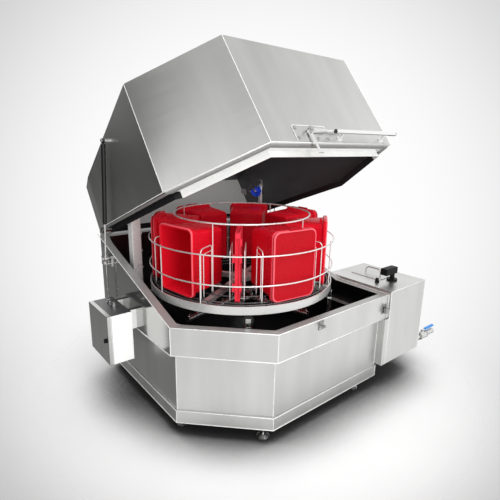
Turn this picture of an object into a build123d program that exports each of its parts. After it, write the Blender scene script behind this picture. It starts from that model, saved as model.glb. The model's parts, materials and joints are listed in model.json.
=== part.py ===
from build123d import *
import math
import os

# Rotary basket parts washer: a hooded wash tub with a turning basket, a tank beside it and its drive.
# Millimetres, Z up, front towards -Y. The sizes below are set about the basket's axis; the finished
# pieces are moved so that the origin is the middle of the whole machine's box, on the floor.

# Cabinet plan
TUB_WIDTH = 1372.0
TUB_DEPTH = 1400.0
AXIS_FROM_LEFT = 672.0
AXIS_FROM_FRONT = 665.0
CHAMFER = 400.0
REAR_PANEL = 135.0
REAR_LEAN = 18.0
SHEET = 3.0
BEND = 6.0

# Cabinet heights
FOOT_HEIGHT = 85.0
PLINTH_HEIGHT = 77.0
CASING_HEIGHT = 350.0
BAND_HEIGHT = 160.0
RIM_RISE = 318.0
FLOOR_ABOVE_PLINTH = 178.0
PLINTH_INSET = 30.0
CASING_INSET = 38.0
BASIN_GAP = 4.0
RIM_FLANGE = 50.0
RIM_LIP = 16.0
PLINTH_FLANGE = 150.0
PLINTH_PLATE = 6.0
WELD_GAP = 1.0
CUT_PAST = 20.0

# Lid
LID_HEIGHT = 661.0
LID_GAP = 12.0
LID_OPEN_ANGLE = 37.4
LIP_INSET = 66.0
LIP_DEPTH = 38.0
SEAL_WIDTH = 20.0
SEAL_HEIGHT = 9.0
SEAL_INSET = 14.0
HINGE_BEHIND = 22.0
HINGE_ABOVE_RIM = 10.0
HINGE_PIN_D = 18.0
PIN_CLEARANCE = 0.08
KNUCKLE_R = 15.0
KNUCKLE_WIDTH = 46.0
LUG_THICK = 12.0
LUG_R = 17.0
SIDE_PLAY = 1.0
HINGE_FROM_SIDE = 20.0

# Lid handle and latch
HANDLE_FROM_RIGHT = (540.0, 0.0)
HANDLE_POST_FROM_RIGHT = (468.0, 90.0)
HANDLE_D = 24.0
HANDLE_ROUND = 3.0
HANDLE_POST_D = 14.88
HANDLE_POST_DROP = 12.0
HANDLE_ROSE = (36.0, 5.0)
HANDLE_STANDOFF = 52.0
HANDLE_ABOVE_EDGE = 36.0
LATCH_X = 12.0
LATCH_ABOVE_EDGE = 66.0
HOOK_CATCH = (14.0, -115.0)
LATCH_PLATE = (250.0, 96.0)
LATCH_PLATE_LEFT = 105.0
LATCH_PLATE_RISE = 8.0
LATCH_PLATE_CORNER = 10.0
LATCH_TURN = 10.0
LEVER_LENGTH = 255.0
LEVER_THICK = 10.0
LEVER_OFF_PLATE = 6.0
LEVER_GRIP_D = 15.0
KEEPER_PIN_D = 10.0
LATCH_PIN_D = 14.0

# Gas struts: how far ahead of the hinge and above or below it the two pivots are with the lid open
STRUT_OUT = 30.0
STRUT_TOP_FROM_HINGE = (337.0, 606.0)
STRUT_FOOT_FROM_HINGE = (234.0, 130.0)
STRUT_CYLINDER_D = 26.0
STRUT_CYLINDER_LENGTH = 500.0
STRUT_ROD_D = 10.0
STUD_D = 12.0
EYE_D = 26.0
EYE_WIDTH = 14.0
STRUT_LINK = 20.0
CHEEK = 5.0
CHEEK_OUT = 17.0
CHEEK_DROP = 30.0
FOOT_PIN_D = 10.0

# Basket
RING_R = 582.0
RING_BAR = (6.0, 46.0)
RING_ABOVE_RIM = 104.0
SPOKE = 30.0
FLOOR_PROUD = 1.0
SHAFT_COLLAR = (14.0, 8.0)
SHAFT_NUT = (60.0, 22.0)
SHAFT_END = 30.0
HUB_PLAY = 0.1
SPOKE_COUNT = 4
FIRST_SPOKE = 210.0
HUB_R = 70.0
SHAFT_D = 35.0
CAGE_WIRE = 8.0
CAGE_POST_WIRE = 7.0
CAGE_RING_RISE = (110.0, 270.0)
CAGE_POST_ANGLES = (0.0, 30.0, 90.0, 120.0, 180.0, 210.0, 300.0)
RING_ARCS = 8
FLOOR_ARCS = 6
FLOOR_RING_R = (250.0, 320.0, 425.0, 523.0, 556.0)
FLOOR_WIRE = 7.0
DIVIDER_WIRE = 6.0
DIVIDER_RISE = 288.0
DIVIDER_BEND = 25.0
TIE_WIRE = 5.0
TIE_TURN = 5.0
TOP_RING_R = 425.0
TOP_RING_RISE = 406.0
TOP_RING_WIRE = 10.0

# Load in the basket
BIN_COUNT = 7
FIRST_BIN = 264.0
TRAY_BAY = 75.0
BIN_OUTER_R = 535.0
BIN_DEPTH = 255.0
BIN_MOUTH = (266.0, 368.0)
BIN_END = (226.0, 338.0)
BIN_WALL = 4.0
BIN_RIM = (10.0, 24.0)
BIN_CORNER = 30.0
LIDDED = (0, 2, 4, 5)
BIN_LID_THICK = 13.0
BIN_LID_BORDER = 13.0
BIN_LID_RECESS = 5.0
BIN_GRIP = (90.0, 12.0)
BIN_GRIP_RISE = 7.0
TRAY_ANGLE = 230.0
TRAY_SIDE_SHARE = 0.4
TRAY_SPAN = (250.0, 540.0)
TRAY_THICK = 28.0
TRAY_HEIGHT = 380.0
TRAY_CORNER = 22.0
TRAY_BORDER = 15.0
TRAY_RECESS = 9.0
TRAY_LUG_HEIGHTS = (0.22, 0.64)
STAND_CLEARANCE = 0.3

# Basket support and drive
ROLLER_ANGLES = (236.0, 308.0, 56.0, 128.0)
ROLLER_R = 30.0
ROLLER_WIDTH = 14.0
AXLE_D = 12.0
POST_TUBE = 26.0
BEARING_OD = 72.0
BEARING_WIDTH = 17.0
HOUSING_OD = 98.0
HOUSING_HEIGHT = 140.0
HOUSING_FLANGE_R = 100.0
BELT_ABOVE_PLINTH = 45.0
BELT_WIDTH = 26.0
BELT_THICK = 4.0
BIG_PULLEY_R = 110.0
SMALL_PULLEY_R = 35.0
PULLEY_SPACING = 270.0
MOTOR_R = 78.0
MOTOR_SHAFT_D = 19.0
RUN_CLEARANCE = 0.05

# Spray pipes
PIPE_D = 34.0
PIPE_WALL = 2.0
MANIFOLD_FROM_RIGHT = 90.0
MANIFOLD_BELOW_RIM = 72.0
RISER_FROM_BACK = 195.0
UPPER_ARM_BELOW_ROOF = 37.0
UPPER_ARM_END_R = 45.0
LOWER_ARM_RISE = 25.0
TUB_INLET_INSET = 10.0
LOWER_RING_R = 70.0
LOWER_ARM_R = 505.0
LOWER_ARM_ANGLES = (105.0, 195.0, 285.0)
FEED_ANGLE = 15.0
NOZZLE_D = 16.0
NOZZLE_LENGTH = 14.0
NOZZLE_BORE = 8.0
UPPER_NOZZLES = (0.08, 0.3, 0.52, 0.74)
LOWER_NOZZLES = (190.0, 300.0, 410.0, 485.0)
PIPE_BEND = 45.0
MANIFOLD_TAIL = 40.0
COLUMN_FROM_LEFT = 112.0
COLUMN_FROM_BACK = 360.0
COLUMN_SIDE = 60.0
COLUMN_RISE = 518.0
COLUMN_BEND = 5.0
COLUMN_NOZZLE_DROPS = (40.0, 150.0, 260.0, 370.0)
WHEEL_BELOW_ARM = 70.0
WHEEL_DIRECTION = 206.0
WHEEL_R = 44.0
WHEEL_RIM = 7.0
WHEEL_STEM = 92.0
WHEEL_STEM_D = 10.0

# Tank
TANK_GAP = 2.5
TANK_UNDER_BAND = 4.0
TANK_WIDTH = 417.5
TANK_DEPTH = 524.0
TANK_AHEAD = 15.0
TANK_ABOVE_PLINTH = 15.0
TANK_HEIGHT = 515.0
TANK_RAIL_RISE = (20.0, 110.0)
TANK_RAIL_HEIGHT = 30.0
TANK_RAIL_INSET = 40.0
DUCT = (200.0, 100.0)
DUCT_ABOVE_FLOOR = 10.0
DUCT_REACH = 6.0
CASING_DUCT_GAP = 3.0
HATCH = (170.0, 210.0)
HATCH_IN_TANK = (237.5, 310.0)
HATCH_LAP = 16.0
STRAINER_DEPTH = 150.0
STRAINER_GAP = 5.0
STRAINER_SHEET = 2.0
STRAINER_HOLE_D = 14.0
SENSOR_IN_TANK = (222.5, 145.0)
SENSOR_HEAD = (112.0, 22.0)
SENSOR_HEAD_WIDTH = 56.0
SENSOR_HEAD_Z = (52.0, 100.0)
GLAND_IN_TANK = (97.5, 180.0)
HEATER_FROM_RIGHT = 120.0
HEATER_ABOVE_FLOOR = 123.0
HEATER_LENGTH = 360.0
HEATER_FLANGE_D = 130.0
HEATER_CAP_D = 96.0
HEATER_HOLE_D = 92.0
HEATER_ROD_D = 10.0

# Drain valve
VALVE_FROM_FRONT = 30.0
VALVE_ABOVE_FLOOR = 48.0
VALVE_OUT = 110.0
VALVE_END_OUT = 250.0
VALVE_BORE = 25.0
VALVE_PIPE_D = 34.0
VALVE_BODY_D = 52.0
VALVE_BODY_HALF = 34.0
VALVE_NECK = 38.0
VALVE_STEM_D = 10.0
VALVE_LEVER = 150.0
BALL_R = 19.0
OUTLET_D = 42.0
OUTLET_BORE = 30.3
OUTLET_DEPTH = 22.0

# Circulation pump
PUMP_FROM_TANK = (127.5, 96.0)
PUMP_ABOVE_PLINTH = 140.0
VOLUTE_R = 92.0
VOLUTE_WIDTH = 64.0
IMPELLER_R = 70.0
PUMP_MOTOR_R = 76.0
PUMP_MOTOR_LENGTH = 210.0
PUMP_SHAFT_D = 20.0
PUMP_NECK = 25.0
PUMP_INLET = 22.0
PUMP_CASE_WALL = 8.0
SUCTION_D = 48.0
SUCTION_WALL = 4.0
SHELF_PAST_PUMP = 130.0
SHELF_ALONG_PUMP = (70.0, 310.0)

# Control box on the left wall
BOX_BEHIND_BEND = 375.0
BOX_LENGTH = 307.0
BOX_BELOW_BAND = 167.0
BOX_HEIGHT = 302.0
BOX_SHEET = 2.0
BOX_OUT = 190.0
BOX_STANDOFF = 45.0
DOOR_DEPTH = 25.0
DOOR_GAP = 1.0
DOOR_PIN_D = 6.0
DOOR_HINGE_INSET = 60.0
HALF_KNUCKLE = 20.0
KNUCKLE_GAP = 0.3
LOCK_FROM_EDGE = 28.0
LOCK_D = 16.0
CONDUIT_D = 12.0
CONDUIT_BEND = 26.0

LEFT = -AXIS_FROM_LEFT
RIGHT = LEFT + TUB_WIDTH
FRONT = -AXIS_FROM_FRONT
BACK = FRONT + TUB_DEPTH
RIM_BEND_Y = FRONT + CHAMFER
PLINTH_Z = FOOT_HEIGHT
CASING_Z = PLINTH_Z + PLINTH_HEIGHT
BAND_Z = CASING_Z + CASING_HEIGHT
RIM_Z = BAND_Z + BAND_HEIGHT
RIM_BACK_Z = RIM_Z + RIM_RISE
LID_TOP_Z = RIM_Z + LID_GAP + LID_HEIGHT
TUB_FLOOR_Z = CASING_Z + FLOOR_ABOVE_PLINTH
BASIN_INSET = CASING_INSET + SHEET + BASIN_GAP
HINGE_Y = BACK + HINGE_BEHIND
HINGE_Z = RIM_BACK_Z + HINGE_ABOVE_RIM
HINGE_AXIS = Axis((0, HINGE_Y, HINGE_Z), (1, 0, 0))
LID_EDGE_Z = RIM_Z + LID_GAP
HANDLE_X = tuple(RIGHT - reach for reach in HANDLE_FROM_RIGHT)
HANDLE_POST_X = tuple(RIGHT - reach for reach in HANDLE_POST_FROM_RIGHT)
STRUT_TOP = (HINGE_Y - STRUT_TOP_FROM_HINGE[0], HINGE_Z + STRUT_TOP_FROM_HINGE[1])
STRUT_FOOT = (HINGE_Y - STRUT_FOOT_FROM_HINGE[0], HINGE_Z - STRUT_FOOT_FROM_HINGE[1])

RING_TOP_Z = RIM_Z + RING_ABOVE_RIM
CAGE_RING_Z = tuple(RING_TOP_Z + rise for rise in CAGE_RING_RISE)
DIVIDER_TOP_Z = RING_TOP_Z + DIVIDER_RISE
TOP_RING_Z = RING_TOP_Z + TOP_RING_RISE
BELT_Z = PLINTH_Z + BELT_ABOVE_PLINTH

TANK_X0 = RIGHT + TANK_GAP
TANK_X1 = TANK_X0 + TANK_WIDTH
TANK_Y0 = FRONT - TANK_AHEAD
TANK_Y1 = TANK_Y0 + TANK_DEPTH
TANK_MID_Y = (TANK_Y0 + TANK_Y1) / 2
TANK_Z = CASING_Z + TANK_ABOVE_PLINTH
TANK_TOP = TANK_Z + TANK_HEIGHT
TANK_LOW_X0 = RIGHT - CASING_INSET + TANK_GAP
TANK_LOW_TOP = BAND_Z - TANK_UNDER_BAND
DUCT_Z = TUB_FLOOR_Z + DUCT_ABOVE_FLOOR
HATCH_AT = (TANK_X0 + HATCH_IN_TANK[0], TANK_Y0 + HATCH_IN_TANK[1])
SENSOR_AT = (TANK_X0 + SENSOR_IN_TANK[0], TANK_Y0 + SENSOR_IN_TANK[1])
GLAND_AT = (TANK_X0 + GLAND_IN_TANK[0], TANK_Y0 + GLAND_IN_TANK[1])
HEATER_X = TANK_X1 - HEATER_FROM_RIGHT
HEATER_Z = TANK_Z + HEATER_ABOVE_FLOOR
VALVE_X = TANK_X1 + VALVE_OUT
VALVE_END_X = TANK_X1 + VALVE_END_OUT
VALVE_Y = TANK_Y0 + VALVE_FROM_FRONT
VALVE_Z = TANK_Z + VALVE_ABOVE_FLOOR

PUMP_AT = (TANK_X0 + PUMP_FROM_TANK[0], TANK_Y1 + PUMP_FROM_TANK[1])
PUMP_Z = PLINTH_Z + PUMP_ABOVE_PLINTH
SHELF_X = PUMP_AT[0] + SHELF_PAST_PUMP
SHELF_Y = (PUMP_AT[1] - SHELF_ALONG_PUMP[0], PUMP_AT[1] + SHELF_ALONG_PUMP[1])

MANIFOLD_X = RIGHT - MANIFOLD_FROM_RIGHT
MANIFOLD_Y0 = PUMP_AT[1]
MANIFOLD_Z = RIM_Z - MANIFOLD_BELOW_RIM
RISER_Y = BACK - RISER_FROM_BACK
UPPER_ARM_Z = LID_TOP_Z - UPPER_ARM_BELOW_ROOF
LOWER_ARM_Z = MANIFOLD_Z + LOWER_ARM_RISE
COLUMN_AT = (LEFT + COLUMN_FROM_LEFT, BACK - COLUMN_FROM_BACK)
COLUMN_TOP_Z = RIM_Z + COLUMN_RISE
WHEEL_VALVE_Z = UPPER_ARM_Z - WHEEL_BELOW_ARM
TUB_INLET_X = RIGHT - SHEET - TUB_INLET_INSET

BOX_Y = (RIM_BEND_Y + BOX_BEHIND_BEND, RIM_BEND_Y + BOX_BEHIND_BEND + BOX_LENGTH)
BOX_Z = (BAND_Z - BOX_BELOW_BAND, BAND_Z - BOX_BELOW_BAND + BOX_HEIGHT)
ON_FLOOR = (Align.CENTER, Align.CENTER, Align.MIN)


def outline(inset=0.0):
    """Corners of the cabinet's plan, moved inwards by inset."""
    corners = [
        (LEFT, RIM_BEND_Y), (LEFT + CHAMFER, FRONT), (RIGHT, FRONT), (RIGHT, BACK - REAR_PANEL),
        (RIGHT - REAR_LEAN, BACK), (LEFT + REAR_LEAN, BACK), (LEFT, BACK - REAR_PANEL),
    ]
    sides = []
    for (x0, y0), (x1, y1) in zip(corners, corners[1:] + corners[:1]):
        length = math.hypot(x1 - x0, y1 - y0)
        shift = (-(y1 - y0) * inset / length, (x1 - x0) * inset / length)
        sides.append((x0 + shift[0], y0 + shift[1], x1 - x0, y1 - y0))
    while True:
        moved = []
        for (px, py, dx, dy), (qx, qy, ex, ey) in zip(sides[-1:] + sides[:-1], sides):
            along = ((qx - px) * ey - (qy - py) * ex) / (dx * ey - dy * ex)
            moved.append((px + along * dx, py + along * dy))
        kept = [
            side for side, start, end in zip(sides, moved, moved[1:] + moved[:1])
            if (end[0] - start[0]) * side[2] + (end[1] - start[1]) * side[3] > 0
        ]
        if len(kept) == len(sides):
            return moved
        sides = kept


def prism(inset, z0, z1, bend=0.0):
    """The cabinet's plan as an upright block, its corners rounded to a sheet bend."""
    block = extrude(Plane.XY.offset(z0) * make_face(Polyline(*outline(inset), close=True)), amount=z1 - z0)
    return fillet(block.edges().filter_by(Axis.Z), bend) if bend else block


def wall(inset, thick, z0, z1, bend=BEND):
    return prism(inset, z0, z1, bend) - prism(inset + thick, z0, z1, max(bend - thick, 1.0))


def rim_z(y):
    """Height of the tub's rim: level along the front and the chamfer, then rising to the back."""
    slope = RIM_RISE / (BACK - RIM_BEND_Y)
    return RIM_Z + max(0.0, y - RIM_BEND_Y) * slope


def rim_layer(low, high):
    """Everything between two heights above the rim line."""
    ends = (FRONT - CHAMFER, RIM_BEND_Y, BACK + CHAMFER)
    points = [(y, rim_z(y) + low) for y in ends] + [(y, rim_z(y) + high) for y in reversed(ends)]
    side = Plane.YZ.offset(LEFT - CHAMFER) * make_face(Polyline(*points, close=True))
    return extrude(side, amount=TUB_WIDTH + 2 * CHAMFER)


def block(x, y, z):
    """A box given by its three pairs of limits."""
    size = Box(x[1] - x[0], y[1] - y[0], z[1] - z[0])
    return Pos((x[0] + x[1]) / 2, (y[0] + y[1]) / 2, (z[0] + z[1]) / 2) * size


def rod(start, end, diameter):
    along = Vector(*end) - Vector(*start)
    return Plane(origin=start, z_dir=along) * Cylinder(diameter / 2, along.length, align=ON_FLOOR)


def tube(start, end, outer, inner):
    return rod(start, end, outer) - rod(start, end, inner)


def disc(x, y, z0, z1, radius):
    return Pos(x, y, z0) * Cylinder(radius, z1 - z0, align=ON_FLOOR)


def bent(points, diameter, radius, bore=0.0):
    """A round rod or pipe along straight runs joined by arcs."""
    path = FilletPolyline(*points, radius=radius) if len(points) > 2 else Line(*points)
    section = Circle(diameter / 2) - Circle(bore / 2) if bore else Circle(diameter / 2)
    return sweep(Plane(origin=path @ 0, z_dir=path % 0) * section, path=path)


def polar(radius, angle, z):
    turn = math.radians(angle)
    return (radius * math.cos(turn), radius * math.sin(turn), z)


def hexagon(x, y, z0, z1, across, bore):
    nut = Pos(x, y, z0) * extrude(RegularPolygon(across / math.sqrt(3), 6), amount=z1 - z0)
    return nut - disc(x, y, z0, z1, bore / 2)


def wire_ring(radius, z, wire, arcs, start=0.0, turn=360.0):
    """A rolled ring of round wire, made of arcs that are welded end to end."""
    pieces = []
    for count in range(arcs):
        arc = CenterArc((0, 0, z), radius, start + count * turn / arcs, turn / arcs)
        pieces.append(sweep(Plane(origin=arc @ 0, z_dir=arc % 0) * Circle(wire / 2), path=arc))
    return pieces


def opened(shape):
    """A lid piece, drawn closed, swung to the open rest pose."""
    return shape.rotate(HINGE_AXIS, -LID_OPEN_ANGLE)


def group(pieces):
    return Compound(children=[solid for piece in pieces for solid in piece.solids()])


# Base

FOOT_PAD_R = 37.0
FOOT_STEM_D = 16.0
NUT_ACROSS = 26.0
NUT_HEIGHT = 13.0
FOOT_INSET = 112.0
FOOT_PAST_CHAMFER = 11.0
FOOT_FROM_RIGHT = 165.0
FOOT_BEHIND_BEND = 85.0
SHELF_FOOT_INSET = 28.0
FOOT_STEM_PLAY = 0.3
NUT_PLAY = 0.2
FEET = (
    (LEFT + CHAMFER + FOOT_PAST_CHAMFER, FRONT + FOOT_INSET), (RIGHT - FOOT_FROM_RIGHT, FRONT + FOOT_INSET),
    (LEFT + FOOT_INSET, RIM_BEND_Y + FOOT_BEHIND_BEND), (LEFT + FOOT_INSET, BACK - FOOT_INSET),
    (RIGHT - FOOT_INSET, BACK - FOOT_INSET), (SHELF_X - SHELF_FOOT_INSET, sum(SHELF_Y) / 2),
)


def base_plinth():
    """Folded ring that carries the casing, with a bottom flange for the feet and a shelf for the pump."""
    plate_z = PLINTH_Z, PLINTH_Z + PLINTH_PLATE
    top = wall(PLINTH_INSET, PLINTH_FLANGE / 4, CASING_Z - SHEET, CASING_Z)
    bottom = wall(PLINTH_INSET, PLINTH_FLANGE, *plate_z)
    shelf = block((RIGHT - PLINTH_INSET - PLINTH_FLANGE / 2, SHELF_X), SHELF_Y, plate_z)
    frame = wall(PLINTH_INSET, SHEET, PLINTH_Z, CASING_Z) + top + bottom + shelf
    for x, y in FEET:
        frame -= disc(x, y, *plate_z, FOOT_STEM_D / 2 + FOOT_STEM_PLAY)
    return frame


def levelling_feet():
    """Cups on threaded stems, each with a lock nut under the plinth's flange."""
    pad_edge, pad_top, neck_r = 9.0, 22.0, 17.0
    pieces = []
    for x, y in FEET:
        pad = disc(x, y, 0, pad_edge, FOOT_PAD_R)
        cup = Pos(x, y, pad_edge) * Cone(FOOT_PAD_R, neck_r, pad_top - pad_edge, align=ON_FLOOR)
        pieces.append(pad + cup + disc(x, y, pad_top, PLINTH_Z + 2 * NUT_HEIGHT, FOOT_STEM_D / 2))
        pieces.append(hexagon(x, y, PLINTH_Z - NUT_HEIGHT, PLINTH_Z, NUT_ACROSS, FOOT_STEM_D + 2 * NUT_PLAY))
    return group(pieces)


def lower_casing():
    """Folded wall between plinth and band, cut out round the overflow duct."""
    return wall(CASING_INSET, SHEET, CASING_Z, BAND_Z) - duct_block(CASING_DUCT_GAP)


def duct_block(extra=0.0):
    """The space of the overflow duct between basin and tank."""
    y = TANK_MID_Y - DUCT[0] / 2 - extra, TANK_MID_Y + DUCT[0] / 2 + extra
    z = DUCT_Z - extra, DUCT_Z + DUCT[1] + extra
    return block((RIGHT - BASIN_INSET - SHEET - DUCT_REACH, TANK_LOW_X0 + SHEET), y, z)


# Wash tub

def wash_tub():
    """Welded tub: outer band with a folded rim, a ledge, and the narrower basin with its floor."""
    band = wall(0, SHEET, BAND_Z, RIM_BACK_Z) - rim_layer(0, RIM_RISE)
    flange = wall(0, RIM_FLANGE, BAND_Z, RIM_BACK_Z) & rim_layer(-SHEET, 0)
    lip = wall(RIM_FLANGE - SHEET, SHEET, BAND_Z, RIM_BACK_Z) & rim_layer(-RIM_LIP, 0)
    ledge = wall(0, BASIN_INSET + SHEET, BAND_Z, BAND_Z + SHEET)
    basin = wall(BASIN_INSET, SHEET, TUB_FLOOR_Z, BAND_Z + SHEET)
    floor = prism(BASIN_INSET, TUB_FLOOR_Z, TUB_FLOOR_Z + SHEET, BEND)
    inlet = MANIFOLD_Y0, MANIFOLD_Z
    tub = band + flange + lip + ledge + basin + floor
    tub -= disc(0, 0, TUB_FLOOR_Z, TUB_FLOOR_Z + SHEET, HOUSING_OD / 2 + WELD_GAP)
    tub -= duct_block(WELD_GAP)
    return tub - rod((MANIFOLD_X, *inlet), (RIGHT + CUT_PAST, *inlet), PIPE_D + 2 * WELD_GAP)


def along_hinge(x0, x1, diameter):
    """A round bar along the hinge's axis."""
    return rod((x0, HINGE_Y, HINGE_Z), (x1, HINGE_Y, HINGE_Z), diameter)


def hinge_bracket(side):
    """Two lugs on the tub's back wall, with the hinge pin through them."""
    drop, neck, knee = 75.0, 16.0, (12.0, 25.0)
    head, head_d = 8.0, HINGE_PIN_D + 9.0
    inner, outer = KNUCKLE_WIDTH / 2 + SIDE_PLAY, KNUCKLE_WIDTH / 2 + SIDE_PLAY + LUG_THICK
    profile = [(BACK, HINGE_Z - drop), (HINGE_Y + knee[0], HINGE_Z - knee[1]), (HINGE_Y + LUG_R, HINGE_Z),
               (HINGE_Y - LUG_R, HINGE_Z), (BACK, HINGE_Z - neck)]
    lugs = []
    for x0 in (side - outer, side + inner):
        face = make_face(Polyline(*profile, close=True)) + Pos(HINGE_Y, HINGE_Z) * Circle(LUG_R)
        plate = extrude(Plane.YZ.offset(x0) * face, amount=LUG_THICK)
        lugs.append(plate - along_hinge(x0, x0 + LUG_THICK, HINGE_PIN_D + 2 * RUN_CLEARANCE))
    pin = along_hinge(side - outer - head, side + outer + head, HINGE_PIN_D)
    for way in (-1, 1):
        pin += along_hinge(side + way * (outer + RUN_CLEARANCE), side + way * (outer + head), head_d)
    return lugs + [pin]


def lid_hinge_arm(side):
    """Knuckle on the lid's back wall, drawn with the lid closed."""
    half = KNUCKLE_WIDTH / 2
    lift, height, tip, join = 2.0, 85.0, 8.0, (1.0, 3.0)
    foot_z = HINGE_Z + LID_GAP + lift
    profile = [(BACK, foot_z), (HINGE_Y - KNUCKLE_R + join[0], HINGE_Z + join[1]),
               (HINGE_Y + KNUCKLE_R - join[0], HINGE_Z + join[1]), (BACK + tip, foot_z + height),
               (BACK, foot_z + height)]
    face = make_face(Polyline(*profile, close=True))
    arm = extrude(Plane.YZ.offset(side - half) * face, amount=KNUCKLE_WIDTH)
    arm += along_hinge(side - half, side + half, 2 * KNUCKLE_R)
    return arm - along_hinge(side - half, side + half, HINGE_PIN_D + 2 * PIN_CLEARANCE)


HINGE_REACH = HINGE_FROM_SIDE + REAR_LEAN + KNUCKLE_WIDTH / 2 + LUG_THICK
HINGE_SIDES = (LEFT + HINGE_REACH, RIGHT - HINGE_REACH)


# Lid, drawn closed

def lid_shell():
    """Welded hood: upright walls that follow the tub's rim, under a flat roof with rolled edges."""
    outer = prism(0, BAND_Z, LID_TOP_Z, BEND)
    inner = prism(SHEET, BAND_Z, LID_TOP_Z - SHEET, BEND - SHEET)
    outer = fillet(outer.faces().sort_by(Axis.Z)[-1].edges(), BEND)
    return (outer - inner) - rim_layer(-RIM_RISE - BAND_HEIGHT, LID_GAP)


def lid_rim_frame():
    """Flange welded inside the hood's lower edge, with a drip lip that hangs into the tub's opening."""
    flange = wall(SHEET, LIP_INSET, BAND_Z, LID_TOP_Z, BEND - SHEET) & rim_layer(LID_GAP, LID_GAP + SHEET)
    lip = wall(LIP_INSET, SHEET, BAND_Z, LID_TOP_Z, SHEET + 1)
    return flange + (lip & rim_layer(LID_GAP - LIP_DEPTH, LID_GAP + SHEET))


def lid_seal():
    """Strip in the flange of the hood that closes on the tub's rim."""
    strip = wall(SEAL_INSET, SEAL_WIDTH, BAND_Z, LID_TOP_Z)
    return strip & rim_layer(LID_GAP - SEAL_HEIGHT, LID_GAP)


def lid_handle():
    """Long grab bar on two posts with round roses on the hood's front."""
    y, z = FRONT - HANDLE_STANDOFF, LID_EDGE_Z + HANDLE_ABOVE_EDGE
    foot_z = z - HANDLE_POST_DROP
    bar = rod((HANDLE_X[0], y, z), (HANDLE_X[1], y, z), HANDLE_D)
    bar = fillet(bar.edges(), HANDLE_ROUND)
    for x in HANDLE_POST_X:
        bar += rod((x, FRONT, foot_z), (x, y, z), HANDLE_POST_D)
        bar += rod((x, FRONT, foot_z), (x, FRONT - HANDLE_ROSE[1], foot_z), HANDLE_ROSE[0])
    return bar - block((LEFT, RIGHT), (FRONT, BACK), (BAND_Z, LID_TOP_Z))


LATCH_Z = LID_EDGE_Z + LATCH_ABOVE_EDGE
LATCH_FACE_Y = FRONT - SHEET
LATCH_PIVOT = (LATCH_X, LATCH_FACE_Y, LATCH_Z)
LATCH_LEVER_Y = (LATCH_FACE_Y - LEVER_OFF_PLATE - LEVER_THICK, LATCH_FACE_Y - LEVER_OFF_PLATE)
HOOK_TURN = math.radians(LATCH_TURN)
KEEPER_X = LATCH_X + HOOK_CATCH[0] * math.cos(HOOK_TURN) - HOOK_CATCH[1] * math.sin(HOOK_TURN)
KEEPER_Z = LATCH_Z + HOOK_CATCH[0] * math.sin(HOOK_TURN) + HOOK_CATCH[1] * math.cos(HOOK_TURN)


def latch_plate():
    """Reinforcing plate on the hood's front, with the latch's pivot pin."""
    collar_d, cap, play = LATCH_PIN_D + 10.0, 7.0, 0.5
    x0 = LATCH_X - LATCH_PLATE_LEFT
    z0 = LID_EDGE_Z + LATCH_PLATE_RISE
    plate = block((x0, x0 + LATCH_PLATE[0]), (LATCH_FACE_Y, FRONT), (z0, z0 + LATCH_PLATE[1]))
    plate = chamfer(plate.edges().filter_by(Axis.Y), LATCH_PLATE_CORNER)
    far, near = LATCH_LEVER_Y
    collar = rod(LATCH_PIVOT, (LATCH_X, near + play, LATCH_Z), collar_d)
    pin = rod(LATCH_PIVOT, (LATCH_X, far - cap / 2, LATCH_Z), LATCH_PIN_D)
    return plate + collar + pin + rod((LATCH_X, far - play, LATCH_Z), (LATCH_X, far - cap, LATCH_Z), collar_d)


def latch_lever():
    """Flat lever and hook in one plate, with a round grip on the lever."""
    boss_r, shank, toe, nose = 15.0, (13.0, 10.0), 16.0, (10.0, 8.0)
    root, tip, grip_from = (12.0, 13.0), (6.0, 8.0), 0.42
    catch_x, catch_z = LATCH_X + HOOK_CATCH[0], LATCH_Z + HOOK_CATCH[1]
    toe_z = catch_z - KEEPER_PIN_D / 2 - SIDE_PLAY
    hook = [(LATCH_X - shank[0], LATCH_Z), (LATCH_X - shank[0], toe_z - toe),
            (catch_x + nose[0], toe_z - toe), (catch_x + nose[0], toe_z - 2 * SIDE_PLAY),
            (catch_x - nose[1], toe_z), (LATCH_X + shank[1], LATCH_Z)]
    arm_x = LATCH_X + LEVER_LENGTH / 2
    arm = [(LATCH_X, LATCH_Z - root[0]), (arm_x, LATCH_Z - tip[0]), (arm_x, LATCH_Z + tip[1]),
           (LATCH_X, LATCH_Z + root[1])]
    face = Plane(origin=(0, LATCH_LEVER_Y[1], 0), x_dir=(1, 0, 0), z_dir=(0, -1, 0))
    sketch = make_face(Polyline(*hook, close=True)) + make_face(Polyline(*arm, close=True))
    sketch += Pos(LATCH_X, LATCH_Z) * Circle(boss_r)
    plate = extrude(face * sketch, amount=LEVER_THICK)
    grip_y, grip_z = sum(LATCH_LEVER_Y) / 2, LATCH_Z + (tip[1] - tip[0]) / 2
    grip = rod((LATCH_X + LEVER_LENGTH * grip_from, grip_y, grip_z), (LATCH_X + LEVER_LENGTH, grip_y, grip_z),
               LEVER_GRIP_D)
    through = LATCH_X, LATCH_LEVER_Y[0] - CUT_PAST, LATCH_Z
    return plate + grip - rod((LATCH_X, FRONT, LATCH_Z), through, LATCH_PIN_D + 2 * PIN_CLEARANCE)


def latch_keeper():
    """Bracket on the tub's front band with the pin that the hook catches."""
    half_width, half_height, thick = 20.0, 26.0, 4.0
    head_y, head_d = (LATCH_LEVER_Y[0] - 3.0, LATCH_LEVER_Y[0] - 9.0), KEEPER_PIN_D + 8.0
    base = block((KEEPER_X - half_width, KEEPER_X + half_width), (FRONT - thick, FRONT),
                 (KEEPER_Z - half_height, KEEPER_Z + half_height))
    pin = rod((KEEPER_X, FRONT, KEEPER_Z), (KEEPER_X, head_y[1] + SIDE_PLAY, KEEPER_Z), KEEPER_PIN_D)
    return base + pin + rod((KEEPER_X, head_y[0], KEEPER_Z), (KEEPER_X, head_y[1], KEEPER_Z), head_d)


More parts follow.
